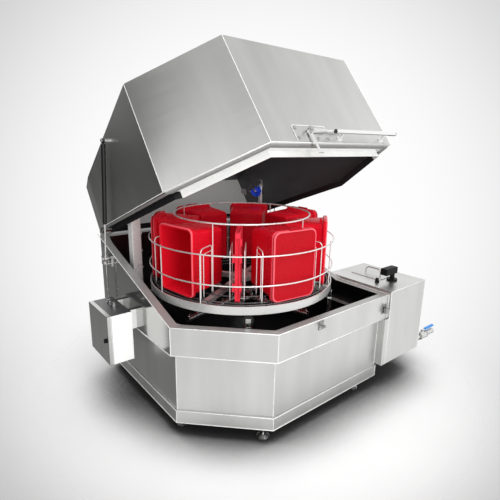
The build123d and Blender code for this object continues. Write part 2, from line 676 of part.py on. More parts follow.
def safety_switch():
    """Lid switch on the right end of the front band: a bracket, its housing and a plunger tube."""
    from_right, below_rim, thick, out, corner = 45.0, 90.0, 4.0, 26.0, 4.0
    half_plate, half_housing, housing_z, plunger_r, plunger = (22.0, 30.0), 14.0, (22.0, 14.0), 6.0, 20.0
    x, z = RIGHT - from_right, RIM_Z - below_rim
    plate = block((x - half_plate[0], x + half_plate[0]), (FRONT - thick, FRONT),
                  (z - half_plate[1], z + half_plate[1]))
    housing = block((x - half_housing, x + half_housing), (FRONT - out, FRONT - thick),
                    (z - housing_z[0], z + housing_z[1]))
    rod_y = FRONT - (out + thick) / 2
    stem = disc(x, rod_y, z + housing_z[1], z + housing_z[1] + plunger, plunger_r)
    return plate + fillet(housing.edges().filter_by(Axis.Z), corner) + stem


# Gas struts

def turned(point, angle):
    """A (y, z) point carried round the hinge by a lid angle, closing positive."""
    turn = math.radians(angle)
    y, z = point[0] - HINGE_Y, point[1] - HINGE_Z
    across = y * math.cos(turn) - z * math.sin(turn)
    return (HINGE_Y + across, HINGE_Z + y * math.sin(turn) + z * math.cos(turn))


def strut_line(angle):
    """Length and direction (degrees) from the lid's stud to the tub's bracket at a lid angle."""
    top = turned(STRUT_TOP, angle)
    along = (STRUT_FOOT[0] - top[0], STRUT_FOOT[1] - top[1])
    return math.hypot(*along), math.degrees(math.atan2(along[1], along[0]))


STRUT_OPEN, STRUT_OPEN_DIRECTION = strut_line(0)
STRUT_CLOSED, STRUT_CLOSED_DIRECTION = strut_line(LID_OPEN_ANGLE)
STRUT_SWING_RATIO = (STRUT_CLOSED_DIRECTION - STRUT_OPEN_DIRECTION) / LID_OPEN_ANGLE - 1.0
STRUT_SLIDE_PER_RADIAN = (STRUT_CLOSED - STRUT_OPEN) / math.radians(LID_OPEN_ANGLE)


def foot_drift(angle):
    """Offset (y, z) of the rod's eye from the bracket when swing and slide follow the lid in proportion."""
    length = STRUT_OPEN + STRUT_SLIDE_PER_RADIAN * math.radians(angle)
    direction = math.radians(STRUT_OPEN_DIRECTION + (1.0 + STRUT_SWING_RATIO) * angle)
    top = turned(STRUT_TOP, angle)
    y, z = top[0] + length * math.cos(direction), top[1] + length * math.sin(direction)
    return y - STRUT_FOOT[0], z - STRUT_FOOT[1]


def strut_at(side_x, along):
    """Point on the open strut's line, a distance from the lid's stud."""
    turn = math.radians(STRUT_OPEN_DIRECTION)
    return (side_x, STRUT_TOP[0] + along * math.cos(turn), STRUT_TOP[1] + along * math.sin(turn))


def eye(side_x, along, bore):
    x, y, z = strut_at(side_x, along)
    ends = (x - EYE_WIDTH / 2, y, z), (x + EYE_WIDTH / 2, y, z)
    return rod(*ends, EYE_D), rod(*ends, bore)


def strut_cylinder(side_x):
    """Barrel with the upper eye on its end, bored for the rod as deep as the closed strut needs."""
    neck_d, neck, spare, overlap = 20.0, 10.0, 60.0, 2.0
    rod_bore = STRUT_ROD_D + 2 * PIN_CLEARANCE
    end = STRUT_CYLINDER_LENGTH
    ring, bore = eye(side_x, 0, STUD_D + 2 * PIN_CLEARANCE)
    link = rod(strut_at(side_x, 0), strut_at(side_x, STRUT_LINK + overlap), EYE_WIDTH - overlap)
    barrel = rod(strut_at(side_x, STRUT_LINK), strut_at(side_x, end), STRUT_CYLINDER_D)
    collar = tube(strut_at(side_x, end - overlap / 2), strut_at(side_x, end + neck), neck_d, rod_bore)
    hollow_start = end - (STRUT_OPEN - STRUT_CLOSED) - spare
    hollow = rod(strut_at(side_x, hollow_start), strut_at(side_x, end + 2 * neck), rod_bore)
    return barrel + ring + link + collar - bore - hollow


def strut_rod(side_x):
    """Rod with the lower eye and the pin through it, which runs in the bracket's slots."""
    engaged, pin_reach, nut_from, nut_d = 30.0, 22.0, 17.6, FOOT_PIN_D + 8.0
    ring, _ = eye(side_x, STRUT_OPEN, FOOT_PIN_D)
    shaft = rod(strut_at(side_x, STRUT_CYLINDER_LENGTH - engaged), strut_at(side_x, STRUT_OPEN), STRUT_ROD_D)
    x, y, z = strut_at(side_x, STRUT_OPEN)
    whole = ring + shaft + rod((x - pin_reach, y, z), (x + pin_reach, y, z), FOOT_PIN_D)
    for way in (-1, 1):
        whole += rod((x + way * nut_from, y, z), (x + way * pin_reach, y, z), nut_d)
    return whole


DRIFTS = [foot_drift(LID_OPEN_ANGLE * step / 12) for step in range(13)]
DRIFT_FAR = max(DRIFTS, key=lambda drift: math.hypot(*drift))
DRIFT_ANGLE = math.degrees(math.atan2(DRIFT_FAR[1], DRIFT_FAR[0]))


def strut_bracket(wall_x, way):
    """Two slotted cheeks on a web and a wall plate; the slots take the lower eye's drift."""
    plate_half, plate_reach, web_y, web_thick = 34.0, 20.0, (16.0, 32.0), 6.0
    slot_d, cheek_d, stalk_y, stalk_width = FOOT_PIN_D + 4.0, FOOT_PIN_D + 22.0, 8.0, 34.0
    side_x = wall_x + way * STRUT_OUT
    y, z = STRUT_FOOT
    middle = Pos(y + DRIFT_FAR[0] / 2, z + DRIFT_FAR[1] / 2) * Rot(0, 0, DRIFT_ANGLE)
    drift = math.hypot(*DRIFT_FAR)
    web_top = z - CHEEK_DROP
    plate = block(sorted((wall_x, wall_x + way * CHEEK)), (y - plate_half, y + plate_half),
                  (web_top - plate_reach, z + plate_reach))
    web = block(sorted((wall_x, side_x + way * CHEEK_OUT)), (y - web_y[0], y + web_y[1]),
                (web_top - web_thick, web_top))
    shape = middle * SlotCenterToCenter(drift, cheek_d)
    shape += Pos(y + stalk_y, z - CHEEK_DROP / 2) * Rectangle(stalk_width, CHEEK_DROP)
    shape -= middle * SlotCenterToCenter(drift, slot_d)
    bracket = plate + web
    for cheek_x in (side_x - CHEEK_OUT, side_x + CHEEK_OUT - CHEEK):
        bracket += extrude(Plane.YZ.offset(cheek_x) * shape, amount=CHEEK)
    return bracket


def lid_stud(wall_x, way):
    """Stud on the hood's side wall, drawn closed, that carries the strut's upper eye."""
    play, cap, foot_d, cap_d = 0.5, 6.0, STUD_D + 12.0, STUD_D + 8.0
    y, z = turned(STRUT_TOP, LID_OPEN_ANGLE)
    side_x = wall_x + way * STRUT_OUT
    eye_face = EYE_WIDTH / 2 + play
    foot = rod((wall_x, y, z), (side_x - way * eye_face, y, z), foot_d)
    pin = rod((wall_x, y, z), (side_x + way * (eye_face + cap / 2), y, z), STUD_D)
    cap_x = side_x + way * eye_face, side_x + way * (EYE_WIDTH / 2 + cap)
    return foot + pin + rod((cap_x[0], y, z), (cap_x[1], y, z), cap_d)


def lid_fittings():
    """What is bolted to the outside of the hood: two hinge arms and two strut studs."""
    return [lid_hinge_arm(side) for side in HINGE_SIDES] + [lid_stud(LEFT, -1), lid_stud(RIGHT, 1)]


STRUT_X = (LEFT - STRUT_OUT, RIGHT + STRUT_OUT)


# Basket

RING_Z0 = RING_TOP_Z - RING_BAR[1]
SPOKE_Z = RING_TOP_Z - FLOOR_WIRE + FLOOR_PROUD - SPOKE


def basket_base():
    """Rolled flat-bar ring, four box spokes and a bored hub, welded together."""
    spoke_z = SPOKE_Z, SPOKE_Z + SPOKE
    ring = disc(0, 0, RING_Z0, RING_TOP_Z, RING_R) - disc(0, 0, RING_Z0, RING_TOP_Z, RING_R - RING_BAR[0])
    base = ring + disc(0, 0, *spoke_z, HUB_R)
    for count in range(SPOKE_COUNT):
        arm = block((HUB_R / 2, RING_R - RING_BAR[0] / 2), (-SPOKE / 2, SPOKE / 2), spoke_z)
        base += Rot(0, 0, FIRST_SPOKE + count * 360 / SPOKE_COUNT) * arm
    return base - disc(0, 0, *spoke_z, SHAFT_D / 2 + HUB_PLAY)


def main_shaft():
    """Turned shaft with a collar under the hub and a nut above it."""
    hub_top = SPOKE_Z + SPOKE
    shaft = disc(0, 0, BELT_Z - BELT_WIDTH, hub_top + SHAFT_END, SHAFT_D / 2)
    collar = disc(0, 0, SPOKE_Z - SHAFT_COLLAR[1], SPOKE_Z, SHAFT_D / 2 + SHAFT_COLLAR[0])
    return shaft + collar + hexagon(0, 0, hub_top, hub_top + SHAFT_NUT[1], SHAFT_NUT[0], SHAFT_D - 1)


def basket_cage():
    """Upright wires welded inside the base ring, with two wire rings round them."""
    post_r = RING_R - RING_BAR[0] - CAGE_POST_WIRE / 2
    ring_r = RING_R - RING_BAR[0] + CAGE_WIRE / 2
    wires = [arc for z in CAGE_RING_Z for arc in wire_ring(ring_r, z, CAGE_WIRE, RING_ARCS)]
    for angle in CAGE_POST_ANGLES:
        on_spoke = (angle - FIRST_SPOKE) % (360 / SPOKE_COUNT) == 0
        foot_z = SPOKE_Z + SPOKE if on_spoke else SPOKE_Z
        top_z = CAGE_RING_Z[1] + CAGE_WIRE / 2
        wires.append(rod(polar(post_r, angle, foot_z), polar(post_r, angle, top_z), CAGE_POST_WIRE))
    return group(wires)


BIN_PITCH = (360.0 - TRAY_BAY) / (BIN_COUNT - 1)
BIN_ANGLES = [FIRST_BIN + index * BIN_PITCH for index in range(BIN_COUNT)]
BAY_ANGLES = [angle + BIN_PITCH / 2 for angle in BIN_ANGLES[:-1]]
TRAY_SIDE_ANGLES = [
    (BIN_ANGLES[-1] - 360 + TRAY_ANGLE) / 2, TRAY_ANGLE + TRAY_SIDE_SHARE * (FIRST_BIN - TRAY_ANGLE),
]
TOP_POST_ANGLES = BAY_ANGLES[0::2] + TRAY_SIDE_ANGLES[:1]
FLOOR_WIRE_Z = SPOKE_Z + SPOKE + FLOOR_WIRE / 2
FLOOR_TOP_Z = FLOOR_WIRE_Z + FLOOR_WIRE / 2
BIN_Z = FLOOR_TOP_Z + STAND_CLEARANCE + BIN_MOUTH[1] / 2 + BIN_RIM[0]
SHELF_RING_R = FLOOR_RING_R[1] - DIVIDER_WIRE / 2 - FLOOR_WIRE / 2
BIN_SLOPE = (BIN_MOUTH[1] - BIN_END[1]) / 2 / BIN_DEPTH
BIN_UNDERSIDE_Z = BIN_Z - BIN_END[1] / 2 - BIN_SLOPE * (SHELF_RING_R - BIN_OUTER_R + BIN_DEPTH)
SHELF_RING_Z = BIN_UNDERSIDE_Z - STAND_CLEARANCE - FLOOR_WIRE / 2


def divider(angle, inner, outer):
    """Upright wire frame that stands with its two legs on floor rings."""
    route = [polar(outer, angle, FLOOR_TOP_Z), polar(outer, angle, DIVIDER_TOP_Z)]
    route += [polar(inner, angle, DIVIDER_TOP_Z), polar(inner, angle, FLOOR_TOP_Z)]
    return bent(route, DIVIDER_WIRE, DIVIDER_BEND)


def basket_rack():
    """Welded wire rack on the spokes: floor rings on tie wires, dividers between bins, and the top ring."""
    inner, middle, _, outer = FLOOR_RING_R[1:]
    wires = []
    for radius in FLOOR_RING_R:
        wires += wire_ring(radius, FLOOR_WIRE_Z, FLOOR_WIRE, FLOOR_ARCS)
    wires += wire_ring(TOP_RING_R, TOP_RING_Z, TOP_RING_WIRE, RING_ARCS)
    shelf_turn = 360 + TRAY_SIDE_ANGLES[0] - TRAY_SIDE_ANGLES[1]
    wires += wire_ring(SHELF_RING_R, SHELF_RING_Z, FLOOR_WIRE, FLOOR_ARCS, TRAY_SIDE_ANGLES[1], shelf_turn)
    wires += [divider(angle, inner, outer) for angle in BAY_ANGLES]
    wires += [divider(angle, middle, outer) for angle in TRAY_SIDE_ANGLES]
    tie_z = SPOKE_Z + SPOKE - TIE_WIRE / 2
    for angle in BAY_ANGLES:
        start = polar(FLOOR_RING_R[0] - FLOOR_WIRE, angle - TIE_TURN, tie_z)
        wires.append(rod(start, polar(outer + FLOOR_WIRE, angle - TIE_TURN, tie_z), TIE_WIRE))
    beside = math.degrees(math.asin(DIVIDER_WIRE / TOP_RING_R))
    for angle in TOP_POST_ANGLES:
        foot = polar(TOP_RING_R, angle + beside, FLOOR_TOP_Z)
        top = polar(TOP_RING_R, angle + beside, TOP_RING_Z - TOP_RING_WIRE / 2)
        wires.append(rod(foot, top, DIVIDER_WIRE))
    return group(wires)


def bin_form(shrink, depth, start):
    """Tapered box lying on its side, mouth at the larger radius, along +X."""
    grow = depth / BIN_DEPTH
    end = [size - 2 * shrink for size in BIN_END]
    mouth = [small + (large - small) * grow - 2 * shrink for small, large in zip(BIN_END, BIN_MOUTH)]
    return loft([Plane.YZ.offset(start) * RectangleRounded(*end, BIN_CORNER),
                 Plane.YZ.offset(start + depth) * RectangleRounded(*mouth, BIN_CORNER)])


def red_bin(angle):
    """Moulded bin with a turned-over rim round its mouth, lying with the mouth outwards."""
    start, past = BIN_OUTER_R - BIN_DEPTH, 2.0
    rim_size = [size + 2 * BIN_RIM[0] for size in BIN_MOUTH]
    rim_face = RectangleRounded(*rim_size, BIN_CORNER + BIN_RIM[0])
    rim = extrude(Plane.YZ.offset(BIN_OUTER_R - BIN_RIM[1]) * rim_face, amount=BIN_RIM[1])
    hollow = bin_form(BIN_WALL, BIN_DEPTH + past, start + BIN_WALL)
    return Rot(0, 0, angle) * (Pos(0, 0, BIN_Z) * (bin_form(0, BIN_DEPTH, start) + rim - hollow))


def bin_lid(angle):
    """Flat lid on a bin's mouth, with a raised border and a grip on its upper edge."""
    size = [side + 2 * BIN_RIM[0] for side in BIN_MOUTH]
    back, face = BIN_OUTER_R, BIN_OUTER_R + BIN_LID_THICK
    sheet = Plane.YZ.offset(back) * RectangleRounded(*size, BIN_CORNER + BIN_RIM[0])
    plate = extrude(sheet, amount=BIN_LID_THICK)
    recess = RectangleRounded(size[0] - 2 * BIN_LID_BORDER, size[1] - 2 * BIN_LID_BORDER, BIN_CORNER)
    plate -= extrude(Plane.YZ.offset(face - BIN_LID_RECESS) * recess, amount=BIN_LID_RECESS)
    grip_top = size[1] / 2 + BIN_GRIP_RISE
    grip = block((back, face), (-BIN_GRIP[0] / 2, BIN_GRIP[0] / 2), (grip_top - BIN_GRIP[1], grip_top))
    return Rot(0, 0, angle) * (Pos(0, 0, BIN_Z) * (plate + grip))


def flat_tray():
    """Flat tray standing on edge in the wide bay, with clip lugs on both faces."""
    lug_x, lug_y, lug_half = (34.0, 6.0), (14.0, 8.0), 22.0
    clip_x, clip_y, clip_z, inner_corner = (34.0, 8.0), (2.0, 9.0), (70.0, 30.0), 14.0
    z0 = FLOOR_TOP_Z + STAND_CLEARANCE
    top, end, half = z0 + TRAY_HEIGHT, TRAY_SPAN[1], TRAY_THICK / 2
    length = TRAY_SPAN[1] - TRAY_SPAN[0]
    middle = Pos(sum(TRAY_SPAN) / 2, z0 + TRAY_HEIGHT / 2)
    tray = extrude(Plane.XZ.offset(-half) * middle * RectangleRounded(length, TRAY_HEIGHT, TRAY_CORNER),
                   amount=TRAY_THICK)
    inside = middle * RectangleRounded(length - 2 * TRAY_BORDER, TRAY_HEIGHT - 2 * TRAY_BORDER, inner_corner)
    tray -= extrude(Plane.XZ.offset(half - TRAY_RECESS) * inside, amount=TRAY_RECESS)
    for share in TRAY_LUG_HEIGHTS:
        z = z0 + TRAY_HEIGHT * share
        tray += block((end - lug_x[0], end - lug_x[1]), (-half - lug_y[0], half + lug_y[1]),
                      (z - lug_half, z + lug_half))
    tray += block((end - clip_x[0], end - clip_x[1]), (-half - clip_y[0], half + clip_y[1]),
                  (top - clip_z[0], top - clip_z[1]))
    return Rot(0, 0, TRAY_ANGLE) * tray


# Support rollers, bearing and drive

ROLLER_Z = RING_Z0 - STAND_CLEARANCE - ROLLER_R
ROLLER_CENTRE_R = RING_R - RING_BAR[0] / 2


def support_roller(angle):
    """Wheel under the basket's ring, bored for its axle."""
    edge = 2.0
    half = ROLLER_WIDTH / 2
    ends = (ROLLER_CENTRE_R - half, 0, ROLLER_Z), (ROLLER_CENTRE_R + half, 0, ROLLER_Z)
    wheel = fillet(rod(*ends, 2 * ROLLER_R).edges(), edge)
    return Rot(0, 0, angle) * (wheel - rod(*ends, AXLE_D + 2 * PIN_CLEARANCE))


def roller_post(angle):
    """Square post on the tub's floor with a fork and the roller's fixed axle."""
    fork_out, cheek, drop = ROLLER_WIDTH / 2 + SIDE_PLAY, 3.0, 6.0
    foot_x, foot_half, foot_thick = (30.0, 26.0), 30.0, 6.0
    yoke_half, yoke_thick, cheek_half, cheek_rise = 18.0, 4.0, 14.0, 12.0
    floor_z = TUB_FLOOR_Z + SHEET
    base_z = ROLLER_Z - ROLLER_R - drop
    x, half = ROLLER_CENTRE_R, POST_TUBE / 2
    post = block((x - half, x + half), (-half, half), (floor_z, base_z))
    foot = block((x - foot_x[0], x + foot_x[1]), (-foot_half, foot_half), (floor_z, floor_z + foot_thick))
    low, fork_x = base_z - yoke_thick, (x - fork_out - cheek, x + fork_out + cheek)
    fork = post + foot + block(fork_x, (-yoke_half, yoke_half), (low, base_z))
    for x0 in (fork_x[0], x + fork_out):
        fork += block((x0, x0 + cheek), (-cheek_half, cheek_half), (low, ROLLER_Z + cheek_rise))
    axle = rod((fork_x[0], 0, ROLLER_Z), (fork_x[1], 0, ROLLER_Z), AXLE_D)
    return Rot(0, 0, angle) * (fork + axle)


HOUSING_Z = TUB_FLOOR_Z + SHEET
HOUSING_TOP = HOUSING_Z + HOUSING_HEIGHT


def bearing_housing():
    """Flanged housing on the tub's floor with a bearing at each end."""
    below, flange, shoulder, low_seat, high_seat = 25.0, 12.0, 4.0, 20.0, 16.0
    body = disc(0, 0, TUB_FLOOR_Z - below, HOUSING_TOP, HOUSING_OD / 2)
    body += disc(0, 0, HOUSING_Z, HOUSING_Z + flange, HOUSING_FLANGE_R)
    body -= disc(0, 0, TUB_FLOOR_Z - below, HOUSING_TOP, BEARING_OD / 2 - shoulder)
    pieces = []
    for z in (TUB_FLOOR_Z - low_seat, HOUSING_TOP - high_seat - BEARING_WIDTH):
        seat = disc(0, 0, z, z + BEARING_WIDTH, BEARING_OD / 2)
        body -= seat
        pieces.append(seat - disc(0, 0, z, z + BEARING_WIDTH, SHAFT_D / 2 + RUN_CLEARANCE))
    return group([body] + pieces)


def shaft_seal():
    """Lip seal pressed into the housing's top, with a cap that throws the water off."""
    depth, cap, shoulder = 14.0, 6.0, 4.0
    ring = disc(0, 0, HOUSING_TOP - depth, HOUSING_TOP, BEARING_OD / 2 - shoulder)
    ring += disc(0, 0, HOUSING_TOP, HOUSING_TOP + cap, HOUSING_OD / 2)
    return ring - disc(0, 0, HOUSING_TOP - depth, HOUSING_TOP + cap, SHAFT_D / 2 + PIN_CLEARANCE)


def pulley(x, radius, bore):
    """Grooved belt pulley with a flange on each side of the belt."""
    flange = 4.0
    low, high = BELT_Z - BELT_WIDTH / 2 - SIDE_PLAY, BELT_Z + BELT_WIDTH / 2 + SIDE_PLAY
    wheel = disc(x, 0, low, high, radius)
    for z in (low - flange, high):
        wheel += disc(x, 0, z, z + flange, radius + BELT_THICK + flange)
    return wheel - disc(x, 0, low - flange, high + flange, bore / 2)


def belt_path(gap):
    """Plan of a belt loop at a distance from the two pulleys."""
    big, small = BIG_PULLEY_R + gap, SMALL_PULLEY_R + gap
    lean = math.degrees(math.asin((big - small) / PULLEY_SPACING))
    top = 90.0 - lean
    a = (big * math.cos(math.radians(top)), big * math.sin(math.radians(top)))
    b = (PULLEY_SPACING + small * math.cos(math.radians(top)), small * math.sin(math.radians(top)))
    sides = [Line(a, b), ThreePointArc(b, (PULLEY_SPACING + small, 0), (b[0], -b[1])),
             Line((b[0], -b[1]), (a[0], -a[1])), ThreePointArc((a[0], -a[1]), (-big, 0), a)]
    return make_face(Wire(sides))


def drive_belt():
    """Flat belt round both pulleys, drawn just clear of them."""
    loop = belt_path(BELT_THICK + STAND_CLEARANCE) - belt_path(STAND_CLEARANCE)
    return extrude(Plane.XY.offset(BELT_Z - BELT_WIDTH / 2) * loop, amount=BELT_WIDTH)


def drive_motor():
    """Upright motor hung on a plate under the tub's floor, shaft down."""
    over_belt, plate_half, plate_thick, shaft_depth = 14.0, 95.0, 10.0, 60.0
    fin_count, fin, fin_root, fin_half, fin_z = 12, 8.0, 2.0, 2.0, (25.0, 30.0)
    box_out, box_root, box_half, box_z = 40.0, 4.0, 32.0, (105.0, 45.0)
    x = PULLEY_SPACING
    low, top = BELT_Z + BELT_WIDTH / 2 + over_belt, TUB_FLOOR_Z
    plate = block((x - plate_half, x + plate_half), (-plate_half, plate_half), (top - plate_thick, top))
    body = disc(x, 0, low, top - plate_thick, MOTOR_R)
    blade = block((MOTOR_R - fin_root, MOTOR_R + fin), (-fin_half, fin_half),
                  (low + fin_z[0], top - fin_z[1]))
    fins = [Pos(x, 0, 0) * Rot(0, 0, turn * 360 / fin_count) * blade for turn in range(fin_count)]
    terminal = block((x + MOTOR_R - box_root, x + MOTOR_R + box_out), (-box_half, box_half),
                     (top - box_z[0], top - box_z[1]))
    motor = body.fuse(*fins) + plate + terminal
    return motor - disc(x, 0, low - 1, low + shaft_depth, MOTOR_SHAFT_D / 2 + RUN_CLEARANCE)


def motor_pulley():
    """Small pulley on the motor's shaft."""
    below, above = 8.0, 70.0
    low, high = BELT_Z - BELT_WIDTH / 2 - below, BELT_Z + BELT_WIDTH / 2 + above
    shaft = disc(PULLEY_SPACING, 0, low, high, MOTOR_SHAFT_D / 2)
    return pulley(PULLEY_SPACING, SMALL_PULLEY_R, MOTOR_SHAFT_D - 1) + shaft


# Spray pipes

def nozzle(point, direction, diameter, extra):
    """Short spray nozzle from a pipe's middle."""
    start = Vector(*point)
    tip = start + Vector(*direction).normalized() * (PIPE_D / 2 + NOZZLE_LENGTH + extra)
    return rod(tuple(start), tuple(tip), diameter)


def riser_form(pipe_d, nozzle_d, extra):
    """Outside or inside of the manifold, riser and upper arm; extra lengthens what is open at its end."""
    reach = math.hypot(MANIFOLD_X, RISER_Y)
    end = (MANIFOLD_X * UPPER_ARM_END_R / reach, RISER_Y * UPPER_ARM_END_R / reach, UPPER_ARM_Z)
    inset = PIPE_WALL if extra else 0.0
    stop = tuple(at + inset * (far - at) / reach for at, far in zip(end, (MANIFOLD_X, RISER_Y, UPPER_ARM_Z)))
    route = [(MANIFOLD_X, MANIFOLD_Y0 - MANIFOLD_TAIL + inset, MANIFOLD_Z), (MANIFOLD_X, RISER_Y, MANIFOLD_Z),
             (MANIFOLD_X, RISER_Y, UPPER_ARM_Z), stop]
    inlet_end = (TUB_INLET_X + extra, MANIFOLD_Y0, MANIFOLD_Z)
    pieces = [rod((MANIFOLD_X, MANIFOLD_Y0, MANIFOLD_Z), inlet_end, pipe_d)]
    for share in UPPER_NOZZLES:
        spot = tuple(at + share * (far - at) for at, far in zip(end, route[2]))
        pieces.append(nozzle(spot, (0, 0, -1), nozzle_d, extra))
    return bent(route, pipe_d, PIPE_BEND).fuse(*pieces)


def spray_riser():
    """Manifold along the right wall, riser in the rear corner and the arm over the basket."""
    return riser_form(PIPE_D, NOZZLE_D, 0.0) - riser_form(PIPE_D - 2 * PIPE_WALL, NOZZLE_BORE, 1.0)


def lower_form(pipe_d, nozzle_d, extra):
    """Outside or inside of the ring round the shaft and its arms."""
    inset = PIPE_WALL if extra else 0.0
    pieces = []
    for angle in LOWER_ARM_ANGLES:
        start, end = polar(LOWER_RING_R, angle, LOWER_ARM_Z), polar(LOWER_ARM_R - inset, angle, LOWER_ARM_Z)
        pieces.append(rod(start, end, pipe_d))
        for radius in LOWER_NOZZLES:
            pieces.append(nozzle(polar(radius, angle, LOWER_ARM_Z), (0, 0, 1), nozzle_d, extra))
    return (Pos(0, 0, LOWER_ARM_Z) * Torus(LOWER_RING_R, pipe_d / 2 - 2)).fuse(*pieces)


def lower_spray():
    """Ring round the shaft with closed spray arms, held and fed by an arm from the manifold."""
    saddle_half, saddle_z = 30.0, (6.0, 22.0)
    saddle_x = MANIFOLD_X - PIPE_D / 2
    end = polar((saddle_x - SHEET) / math.cos(math.radians(FEED_ANGLE)), FEED_ANGLE, LOWER_ARM_Z)
    feed = rod(polar(LOWER_RING_R, FEED_ANGLE, LOWER_ARM_Z), end, PIPE_D - PIPE_WALL)
    feed -= block((saddle_x - SHEET, RIGHT), (0, BACK), (0, RIM_Z))
    saddle = block((saddle_x - 2 * SHEET, saddle_x), (end[1] - saddle_half, end[1] + saddle_half),
                   (MANIFOLD_Z - saddle_z[0], LOWER_ARM_Z + saddle_z[1]))
    outside = lower_form(PIPE_D, NOZZLE_D, 0.0) + feed
    return outside + saddle - lower_form(PIPE_D - 2 * PIPE_WALL, NOZZLE_BORE, 1.0)


def spray_column():
    """Square stainless column in the rear left corner with nozzles towards the basket."""
    x, y = COLUMN_AT
    half, hollow = COLUMN_SIDE / 2, COLUMN_SIDE / 2 - SHEET
    tip = x + half + NOZZLE_LENGTH
    post = block((x - half, x + half), (y - half, y + half), (TUB_FLOOR_Z + SHEET, COLUMN_TOP_Z))
    post = fillet(post.edges().filter_by(Axis.Z), COLUMN_BEND)
    bore = block((x - hollow, x + hollow), (y - hollow, y + hollow),
                 (TUB_FLOOR_Z + 2 * SHEET, COLUMN_TOP_Z - SHEET))
    for drop in COLUMN_NOZZLE_DROPS:
        z = COLUMN_TOP_Z - drop
        post += rod((x, y, z), (tip, y, z), NOZZLE_D)
        bore += rod((x, y, z), (tip + 1, y, z), NOZZLE_BORE)
    return post - bore


WHEEL_WAY = polar(1.0, WHEEL_DIRECTION, 0.0)


def wheel_point(along):
    """A point on the valve's stem line, a distance from the riser's middle."""
    return tuple(origin + along * way for origin, way in zip((MANIFOLD_X, RISER_Y, WHEEL_VALVE_Z), WHEEL_WAY))


WHEEL_CENTRE = wheel_point(WHEEL_STEM)


def riser_valve():
    """Valve body clamped round the riser, with a bonnet for the handwheel's stem."""
    body_z, body_wall, bonnet_d, bonnet_along, seat = (40.0, 22.0), 9.0, 30.0, (10.0, 22.0), 6.0
    low, high = WHEEL_VALVE_Z - body_z[0], WHEEL_VALVE_Z + body_z[1]
    body = disc(MANIFOLD_X, RISER_Y, low, high, PIPE_D / 2 + body_wall)
    bonnet = rod(wheel_point(bonnet_along[0]), wheel_point(WHEEL_STEM - bonnet_along[1]), bonnet_d)
    bore = rod(wheel_point(PIPE_D / 2 + seat), wheel_point(WHEEL_STEM), WHEEL_STEM_D + 2 * PIN_CLEARANCE)
    riser = disc(MANIFOLD_X, RISER_Y, low, high, PIPE_D / 2 + RUN_CLEARANCE)
    return body + bonnet - bore - riser


def handwheel():
    """Moulded three-spoke handwheel on its stem."""
    hub_r, hub, spoke_from, spoke_half, spoke_thick, seat = 13.0, 18.0, 8.0, 5.0, 8.0, 8.0
    plane = Plane(origin=WHEEL_CENTRE, z_dir=WHEEL_WAY)
    ring_r = WHEEL_R - WHEEL_RIM
    wheel = plane * (Torus(ring_r, WHEEL_RIM) + Pos(0, 0, -hub / 2) * Cylinder(hub_r, hub, align=ON_FLOOR))
    spoke = block((spoke_from, ring_r), (-spoke_half, spoke_half), (-spoke_thick / 2, spoke_thick / 2))
    for turn in (0, 120, 240):
        wheel += plane * (Rot(0, 0, turn) * spoke)
    return wheel + rod(wheel_point(PIPE_D / 2 + seat), wheel_point(WHEEL_STEM), WHEEL_STEM_D)


# Tank

def hatch_block(lap, z0, z1):
    """A block under or over the hatch, wider than the hatch by a lap all round."""
    x, y = HATCH[0] / 2 + lap, HATCH[1] / 2 + lap
    return block((HATCH_AT[0] - x, HATCH_AT[0] + x), (HATCH_AT[1] - y, HATCH_AT[1] + y), (z0, z1))


def tank_panels():
    """Limits of the tank's flat panels, which are parted where they are welded together."""
    x = RIGHT - BASIN_INSET - TANK_WIDTH, TANK_X1 + TANK_WIDTH
    y = TANK_Y0 - TANK_DEPTH, TANK_Y1 + TANK_DEPTH
    low, step, ledge, top = TANK_Z + SHEET, TANK_LOW_TOP - SHEET, TANK_LOW_TOP, TANK_TOP - SHEET
    inside = TANK_Y0 + SHEET, TANK_Y1 - SHEET
    left = x[0], TANK_LOW_X0 + SHEET
    hatch_x = HATCH_AT[0] - HATCH[0] / 2, HATCH_AT[0] + HATCH[0] / 2
    hatch_y = HATCH_AT[1] - HATCH[1] / 2, HATCH_AT[1] + HATCH[1] / 2
    lid = top, top + TANK_HEIGHT
    duct = TANK_MID_Y - DUCT[0] / 2, TANK_MID_Y + DUCT[0] / 2
    sill, head = DUCT_Z, DUCT_Z + DUCT[1]
    limits = [(x, y, (TANK_Z, low))]
    limits += [((x[0], hatch_x[0]), y, lid), ((hatch_x[1], x[1]), y, lid)]
    limits += [(hatch_x, (y[0], hatch_y[0]), lid), (hatch_x, (hatch_y[1], y[1]), lid)]
    for end in ((y[0], inside[0]), (inside[1], y[1])):
        limits += [(x, end, (low, ledge)), (x, end, (ledge, top))]
    limits += [((TANK_X1 - SHEET, x[1]), inside, (low, top))]
    limits += [(left, inside, (low, sill)), (left, inside, (head, step))]
    limits += [(left, (inside[0], duct[0]), (sill, head)), (left, (duct[1], inside[1]), (sill, head))]
    limits += [(left, duct, (sill, sill + SHEET)), (left, duct, (head - SHEET, head))]
    limits += [(left, (duct[0], duct[0] + SHEET), (sill + SHEET, head - SHEET))]
    limits += [(left, (duct[1] - SHEET, duct[1]), (sill + SHEET, head - SHEET))]
    limits += [((x[0], TANK_X0 + SHEET), inside, (step, ledge))]
    limits += [((TANK_X0, TANK_X0 + SHEET), inside, (ledge, top))]
    return limits + [((x[0], TANK_X0), inside, (ledge, top))]


